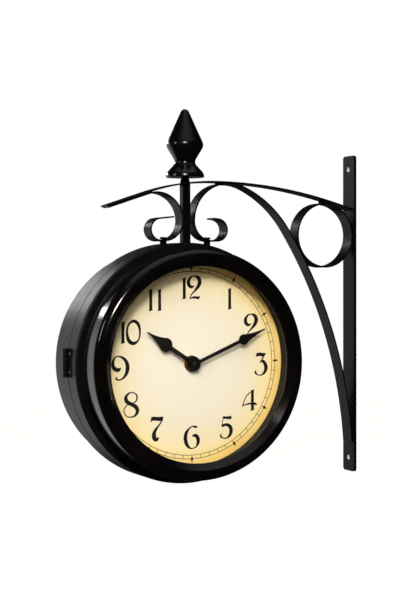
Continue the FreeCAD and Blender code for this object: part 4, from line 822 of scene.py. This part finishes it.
NINE = Glyph(
    strokes=(((0.6, 0.4, 0.7), (-1.6, -1.5, 3.1), (-5.0, -0.8, 3.3), (-7.2, 2.2, 3.1), (-7.0, 6.4, 2.3),
              (-4.8, 10.0, 1.2), (-1.4, 10.8, 1.2), (3.0, 9.2, 2.2), (6.4, 5.2, 3.1), (7.4, 0.0, 3.5),
              (6.0, -5.4, 2.8), (2.7, -9.4, 1.6), (-1.2, -10.9, 1.2), (-4.4, -9.8, 1.9)),
             ((-4.7, -9.9, 1.3), (-3.4, -7.6, 0.6))))
ZERO = Glyph(loops=(((0.0, 10.5, 2.5), (4.7, 7.7, 2.8), (6.6, 0.2, 1.7), (5.0, -7.1, 1.4), (0.0, -10.1, 2.9),
                     (-4.7, -7.3, 3.1), (-6.5, 0.2, 2.0), (-4.8, 7.2, 1.6)),))

# Each figure of the hour ring with its middle on the dial, in millimetres from the dial's centre.
HOUR_RING: Sequence[Tuple[Glyph, float, float]] = (
    (ONE, 40.75, 60.5), (TWO, 64.1, 34.6), (THREE, 74.9, -2.7), (FOUR, 64.4, -37.3), (FIVE, 36.8, -61.9),
    (SIX, 0.0, -69.8), (SEVEN, -36.3, -59.8), (EIGHT, -61.8, -36.0), (NINE, -73.0, -1.8),
    (ONE, -70.2, 30.8), (ZERO, -59.6, 30.7), (ONE, -42.0, 60.2), (ONE, -32.9, 60.2),
    (ONE, -7.4, 70.9), (TWO, 3.3, 71.5),
)


HOURS = 12
MINUTES = 60


@dataclass
class DialPrint:
    """What is printed on one dial: the hour figures, the minute track and the hour diamonds."""

    frame: FaceFrame
    level: float = 25.8
    film: float = 0.06
    centre: Point = (0.2, 0.2)
    track_radii: Tuple[float, float] = (86.5, 90.0)
    ring_steps: int = 180
    line_width: float = 0.5
    diamond_middle: float = 90.3
    diamond_length: float = 7.0
    diamond_width: float = 2.9
    waist_reach: float = 0.3
    waist_width: float = 0.55
    diamond_film: float = 1.2

    def build(self) -> None:
        """Prints all three parts on the dial."""
        self.figures()
        self.track()
        self.diamonds()

    def piece(self, parts: MeshParts, name: str) -> None:
        """Makes one printed part."""
        parts.piece(f"{name}_{self.frame.side.value}", DialInk(), "hand_enamel", self.frame.side.body)

    def put(self, parts: MeshParts, shape: Tuple[np.ndarray, Sequence[Sequence[int]]], x: float,
            y: float) -> None:
        """Adds a shape, moved on the dial and brought to its face."""
        points, faces = shape
        parts.add(self.frame.world(points + np.array([x, y, 0.0])), faces)

    def figures(self) -> None:
        """The twelve hours, upright, as pen strokes and cut shapes."""
        parts = MeshParts()
        low, high = self.level - self.film, self.level + self.film
        for glyph, x, y in HOUR_RING:
            for stroke in glyph.strokes:
                self.put(parts, brush(stroke, low, high), x, y)
            for loop in glyph.loops:
                self.put(parts, brush(loop, low, high, closed=True), x, y)
            for shape in glyph.shapes:
                self.put(parts, slab(np.array(shape), low, high), x, y)
        self.piece(parts, "hour_figures")

    def track(self) -> None:
        """Two thin rings, and a tick across them at every minute."""
        parts = MeshParts()
        low, high = self.level - self.film, self.level + self.film
        half = self.line_width / 2.0
        for radius in self.track_radii:
            profile = np.array([[radius - half, low], [radius - half, high], [radius + half, high],
                                [radius + half, low]])
            self.put(parts, turned(profile[::-1], self.ring_steps), *self.centre)
        inner, outer = self.track_radii
        for minute in range(MINUTES):
            if minute % (MINUTES // HOURS) == 0:
                continue
            angle = 2.0 * math.pi * minute / MINUTES
            along = np.array([math.sin(angle), math.cos(angle)])
            across = np.array([along[1], -along[0]]) * half
            tick = np.array([inner * along + across, outer * along + across, outer * along - across,
                             inner * along - across])
            self.put(parts, slab(tick, low, high), *self.centre)
        self.piece(parts, "minute_track")

    def diamonds(self) -> None:
        """A slim diamond across the track at every hour, drawn in at its four sides."""
        parts = MeshParts()
        long_half, short_half = self.diamond_length / 2.0, self.diamond_width / 2.0
        for hour in range(HOURS):
            angle = 2.0 * math.pi * hour / HOURS
            along = np.array([math.sin(angle), math.cos(angle)])
            across = np.array([along[1], -along[0]])
            tip, flank = long_half * along, short_half * across
            waist_along, waist_across = self.waist_reach * tip, self.waist_width * flank
            shape = self.diamond_middle * along + np.array([
                tip, waist_along + waist_across, flank, waist_across - waist_along,
                -tip, -waist_along - waist_across, -flank, waist_along - waist_across])
            self.put(parts, slab(shape, self.level - self.film, self.level + self.film * self.diamond_film),
                     *self.centre)
        self.piece(parts, "hour_diamonds")


@dataclass
class HingeScrews:
    """The four domed screw heads that hold the hinge's leaves to the drum at nine o'clock."""

    frame: FaceFrame = FaceFrame(Side.FRONT)
    leaf_radius: float = 114.8
    from_seam: float = 5.6
    heights: Tuple[float, float] = (-5.6, 11.6)
    head_radius: float = 1.5
    head_height: float = 0.8
    sunk: float = 0.05

    def build(self) -> None:
        """Two heads on each leaf: the front leaf rides on the bracket, the rear one on the door."""
        for side, level in ((Side.FRONT, self.from_seam), (Side.REAR, -self.from_seam)):
            parts = MeshParts()
            for height in self.heights:
                points, faces = dome(self.head_radius, self.head_height)
                parts.add(self.frame.world(self.stand(points, height, level)), faces)
            parts.piece(f"hinge_screws_{side.value}", FINISHES["zinc_steel"], "zinc_steel", side.body, True)

    def stand(self, points: np.ndarray, height: float, level: float) -> np.ndarray:
        """Turns domes that stand on z = 0 so that they stand on the leaf, pointing away from the axis."""
        reach = math.sqrt(self.leaf_radius ** 2 - height ** 2)
        outward = np.array([-reach, height, 0.0]) / self.leaf_radius
        along = np.array([0.0, 0.0, 1.0])
        across = np.cross(along, outward)
        foot = outward * (self.leaf_radius - self.sunk) + along * level
        return foot + points @ np.array([across, np.cross(outward, across), outward])


# --------------------------------------------------------------------------- studio and camera

@dataclass(frozen=True)
class Reflector:
    """A round, soft-edged patch of light far away, seen in reflections only."""

    axis: Tuple[float, float, float]
    inner_degrees: float
    outer_degrees: float
    glow: float

    def light(self, tree: bpy.types.NodeTree, direction: Socket) -> Socket:
        """Its light in a direction: full inside the inner angle, none outside the outer one."""
        near = add_node(tree, "VectorMath", {0: direction, 1: self.axis}, operation="DOT_PRODUCT")
        reach = math.sqrt(sum(part * part for part in self.axis))
        patch = add_node(tree, "MapRange", {"Value": near.outputs["Value"],
                                            "From Min": reach * math.cos(math.radians(self.outer_degrees)),
                                            "From Max": reach * math.cos(math.radians(self.inner_degrees)),
                                            "To Min": 0.0, "To Max": self.glow},
                         interpolation_type="SMOOTHSTEP")
        return patch.outputs["Result"]


def stance(right: np.ndarray, up: np.ndarray, back: np.ndarray, place: Sequence[float]) -> Matrix:
    """The matrix of a lamp or camera, which looks along its own -z axis.

    Args:
        right: Its x axis.
        up: Its y axis.
        back: Its z axis.
        place: Where it stands, in metres.

    Returns:
        The world matrix.
    """
    matrix = np.eye(4)
    matrix[:3] = np.column_stack([right, up, back, place])
    return Matrix(matrix.tolist())


@dataclass(frozen=True)
class SoftBox:
    """A rectangular soft lamp that looks at the clock and that the camera doesn't see."""

    name: str
    direction: Tuple[float, float, float]
    distance: float
    size: Point
    watts: float
    colour: str = "#ffffff"

    def build(self, target: Sequence[float]) -> None:
        """Makes the lamp.

        Args:
            target: The point that it looks at, in metres.
        """
        light = bpy.data.lights.new(self.name, "AREA")
        light.shape = "RECTANGLE"
        light.size, light.size_y = self.size
        light.energy = self.watts
        light.color = linear(self.colour)[:3]
        lamp = bpy.data.objects.new(self.name, light)
        bpy.context.scene.collection.objects.link(lamp)
        away = np.array(self.direction) / np.linalg.norm(self.direction)
        right = np.cross([0.0, 0.0, 1.0], away)
        right /= np.linalg.norm(right)
        lamp.matrix_world = stance(right, np.cross(away, right), away,
                                   np.array(target) + away * self.distance)
        lamp.visible_camera = False


@dataclass
class Studio:
    """White surroundings, three soft lamps and a floor that keeps the clock's shadow."""

    target: Tuple[float, float, float] = (-0.186, 0.0, -0.04)
    floor_z: float = -0.95
    floor_half: float = 9.0
    floor_lift: float = 0.94
    room_glow: float = 0.008
    room_light: float = 0.07
    room_colour: str = "#ffcf9c"
    # White paper beside the clock, the backdrop and the ceiling, as the paint reflects them.
    papers: Tuple[Reflector, ...] = (
        Reflector((-0.37, 0.91, -0.20), 14.0, 36.0, 0.90),
        Reflector((0.449, 0.893, -0.02), 10.0, 30.0, 0.06),
        Reflector((0.05, -0.12, 1.0), 22.0, 44.0, 0.45))
    lamps: Tuple[SoftBox, ...] = (
        SoftBox("key_softbox", (-0.50, -1.0, 0.60), 1.7, (0.26, 0.22), 17.2, "#fffaf4"),
        SoftBox("side_softbox", (-1.0, 0.02, 0.42), 1.6, (0.10, 0.40), 2.2),
        SoftBox("rim_softbox", (-0.10, 0.92, 0.31), 1.7, (0.74, 0.13), 4.4))

    def build(self) -> None:
        """Sets the world, the floor and the lamps."""
        self.world()
        self.floor()
        for lamp in self.lamps:
            lamp.build(self.target)

    def world(self) -> None:
        """White to the camera, faint and warm to diffuse rays, a dark room with soft papers to reflections."""
        world = bpy.data.worlds.new("studio")
        bpy.context.scene.world = world
        world.use_nodes = True
        tree = world.node_tree
        tree.nodes.clear()
        direction = add_node(tree, "TexCoord").outputs["Generated"]
        glow = self.room_glow
        for paper in self.papers:
            glow = add_node(tree, "Math", {0: glow, 1: paper.light(tree, direction)},
                            operation="ADD").outputs["Value"]
        path = add_node(tree, "LightPath")
        white = linear("#ffffff")
        seen = add_node(tree, "Background", {"Color": white, "Strength": 1.0})
        mirrored = add_node(tree, "Background", {"Color": white, "Strength": glow})
        lit = add_node(tree, "Background", {"Color": linear(self.room_colour), "Strength": self.room_light})
        bounced = add_node(tree, "MixShader", {0: path.outputs["Is Diffuse Ray"],
                                               1: mirrored.outputs["Background"],
                                               2: lit.outputs["Background"]})
        shown = add_node(tree, "MixShader", {0: path.outputs["Is Camera Ray"], 1: bounced.outputs["Shader"],
                                             2: seen.outputs["Background"]})
        add_node(tree, "OutputWorld", {"Surface": shown.outputs["Shader"]})

    def floor(self) -> None:
        """A wide pale floor well below the clock, white except in the shadow, and clear to reflections."""
        mesh = bpy.data.meshes.new("studio_floor")
        corners = [(x * self.floor_half, y * self.floor_half, self.floor_z)
                   for x, y in ((-1, -1), (1, -1), (1, 1), (-1, 1))]
        mesh.from_pydata(corners, [], [(0, 1, 2, 3)])
        made = bpy.data.objects.new("studio_floor", mesh)
        bpy.context.scene.collection.objects.link(made)
        material = bpy.data.materials.new("pale_studio_paper")
        material.use_nodes = True
        tree = material.node_tree
        tree.nodes.clear()
        paper = add_node(tree, "BsdfDiffuse", {"Color": linear("#f4f3f1")})
        path = add_node(tree, "LightPath")
        white = add_node(tree, "Emission", {"Color": linear("#ffffff"), "Strength": self.floor_lift})
        lifted = add_node(tree, "AddShader", {0: paper.outputs["BSDF"], 1: white.outputs["Emission"]})
        clear = add_node(tree, "BsdfTransparent")
        unseen = add_node(tree, "MixShader", {0: path.outputs["Is Glossy Ray"], 1: paper.outputs["BSDF"],
                                              2: clear.outputs["BSDF"]})
        shown = add_node(tree, "MixShader", {0: path.outputs["Is Camera Ray"], 1: unseen.outputs["Shader"],
                                             2: lifted.outputs["Shader"]})
        add_node(tree, "OutputMaterial", {"Surface": shown.outputs["Shader"]})
        mesh.materials.append(material)


@dataclass
class PhotoCamera:
    """The camera at the photograph's viewing angle."""

    place: Tuple[float, float, float] = (-0.76272, -1.17685, 0.04494)
    forward: Tuple[float, float, float] = (0.449428, 0.893044, -0.022077)
    roll_degrees: float = -0.16
    focal_pixels: float = 1382.5
    image_height: float = 600.0
    sensor_mm: float = 36.0

    def build(self) -> None:
        """Makes the camera: right is the level direction square to the view, turned by the roll.

        The picture is upright, so the sensor's size lies along its height.
        """
        data = bpy.data.cameras.new("photo_camera")
        data.sensor_width = self.sensor_mm
        data.lens = self.focal_pixels / self.image_height * self.sensor_mm
        camera = bpy.data.objects.new("photo_camera", data)
        bpy.context.scene.collection.objects.link(camera)
        ahead = np.array(self.forward) / np.linalg.norm(self.forward)
        level = np.cross(ahead, [0.0, 0.0, 1.0])
        level /= np.linalg.norm(level)
        upright = np.cross(level, ahead)
        cosine, sine = math.cos(math.radians(self.roll_degrees)), math.sin(math.radians(self.roll_degrees))
        right = cosine * level + sine * upright
        up = cosine * upright - sine * level
        camera.matrix_world = stance(right, up, -ahead, self.place)
        bpy.context.scene.camera = camera


# --------------------------------------------------------------------------- the clock

@dataclass
class Clock:
    """The whole clock: its CAD nodes with their finishes, and what is added to them."""

    frame: Dict[str, Any]

    def dress_nodes(self) -> None:
        """Gives every CAD node the finish of its material slot."""
        for subpart in self.frame["record"]["subparts"]:
            node = self.frame["nodes"][subpart["node"]]
            finish = finish_of(subpart["node"], subpart["material_slot"])
            node.data.materials.clear()
            node.data.materials.append(finish.material())
            LOG.info("node %s: %s", subpart["node"], finish.name)

    def build(self) -> None:
        """Dresses the nodes, prints both dials and adds the hinge's screw heads."""
        self.dress_nodes()
        for side in Side:
            DialPrint(FaceFrame(side)).build()
        HingeScrews().build()


def main() -> None:
    """Loads the frame, builds the clock and sets the studio and the camera."""
    logging.basicConfig(level=logging.INFO)
    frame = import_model()
    bpy.context.scene.view_settings.view_transform = "Standard"
    Studio().build()
    PhotoCamera().build()
    Clock(frame).build()


if __name__ == "__main__":
    main()
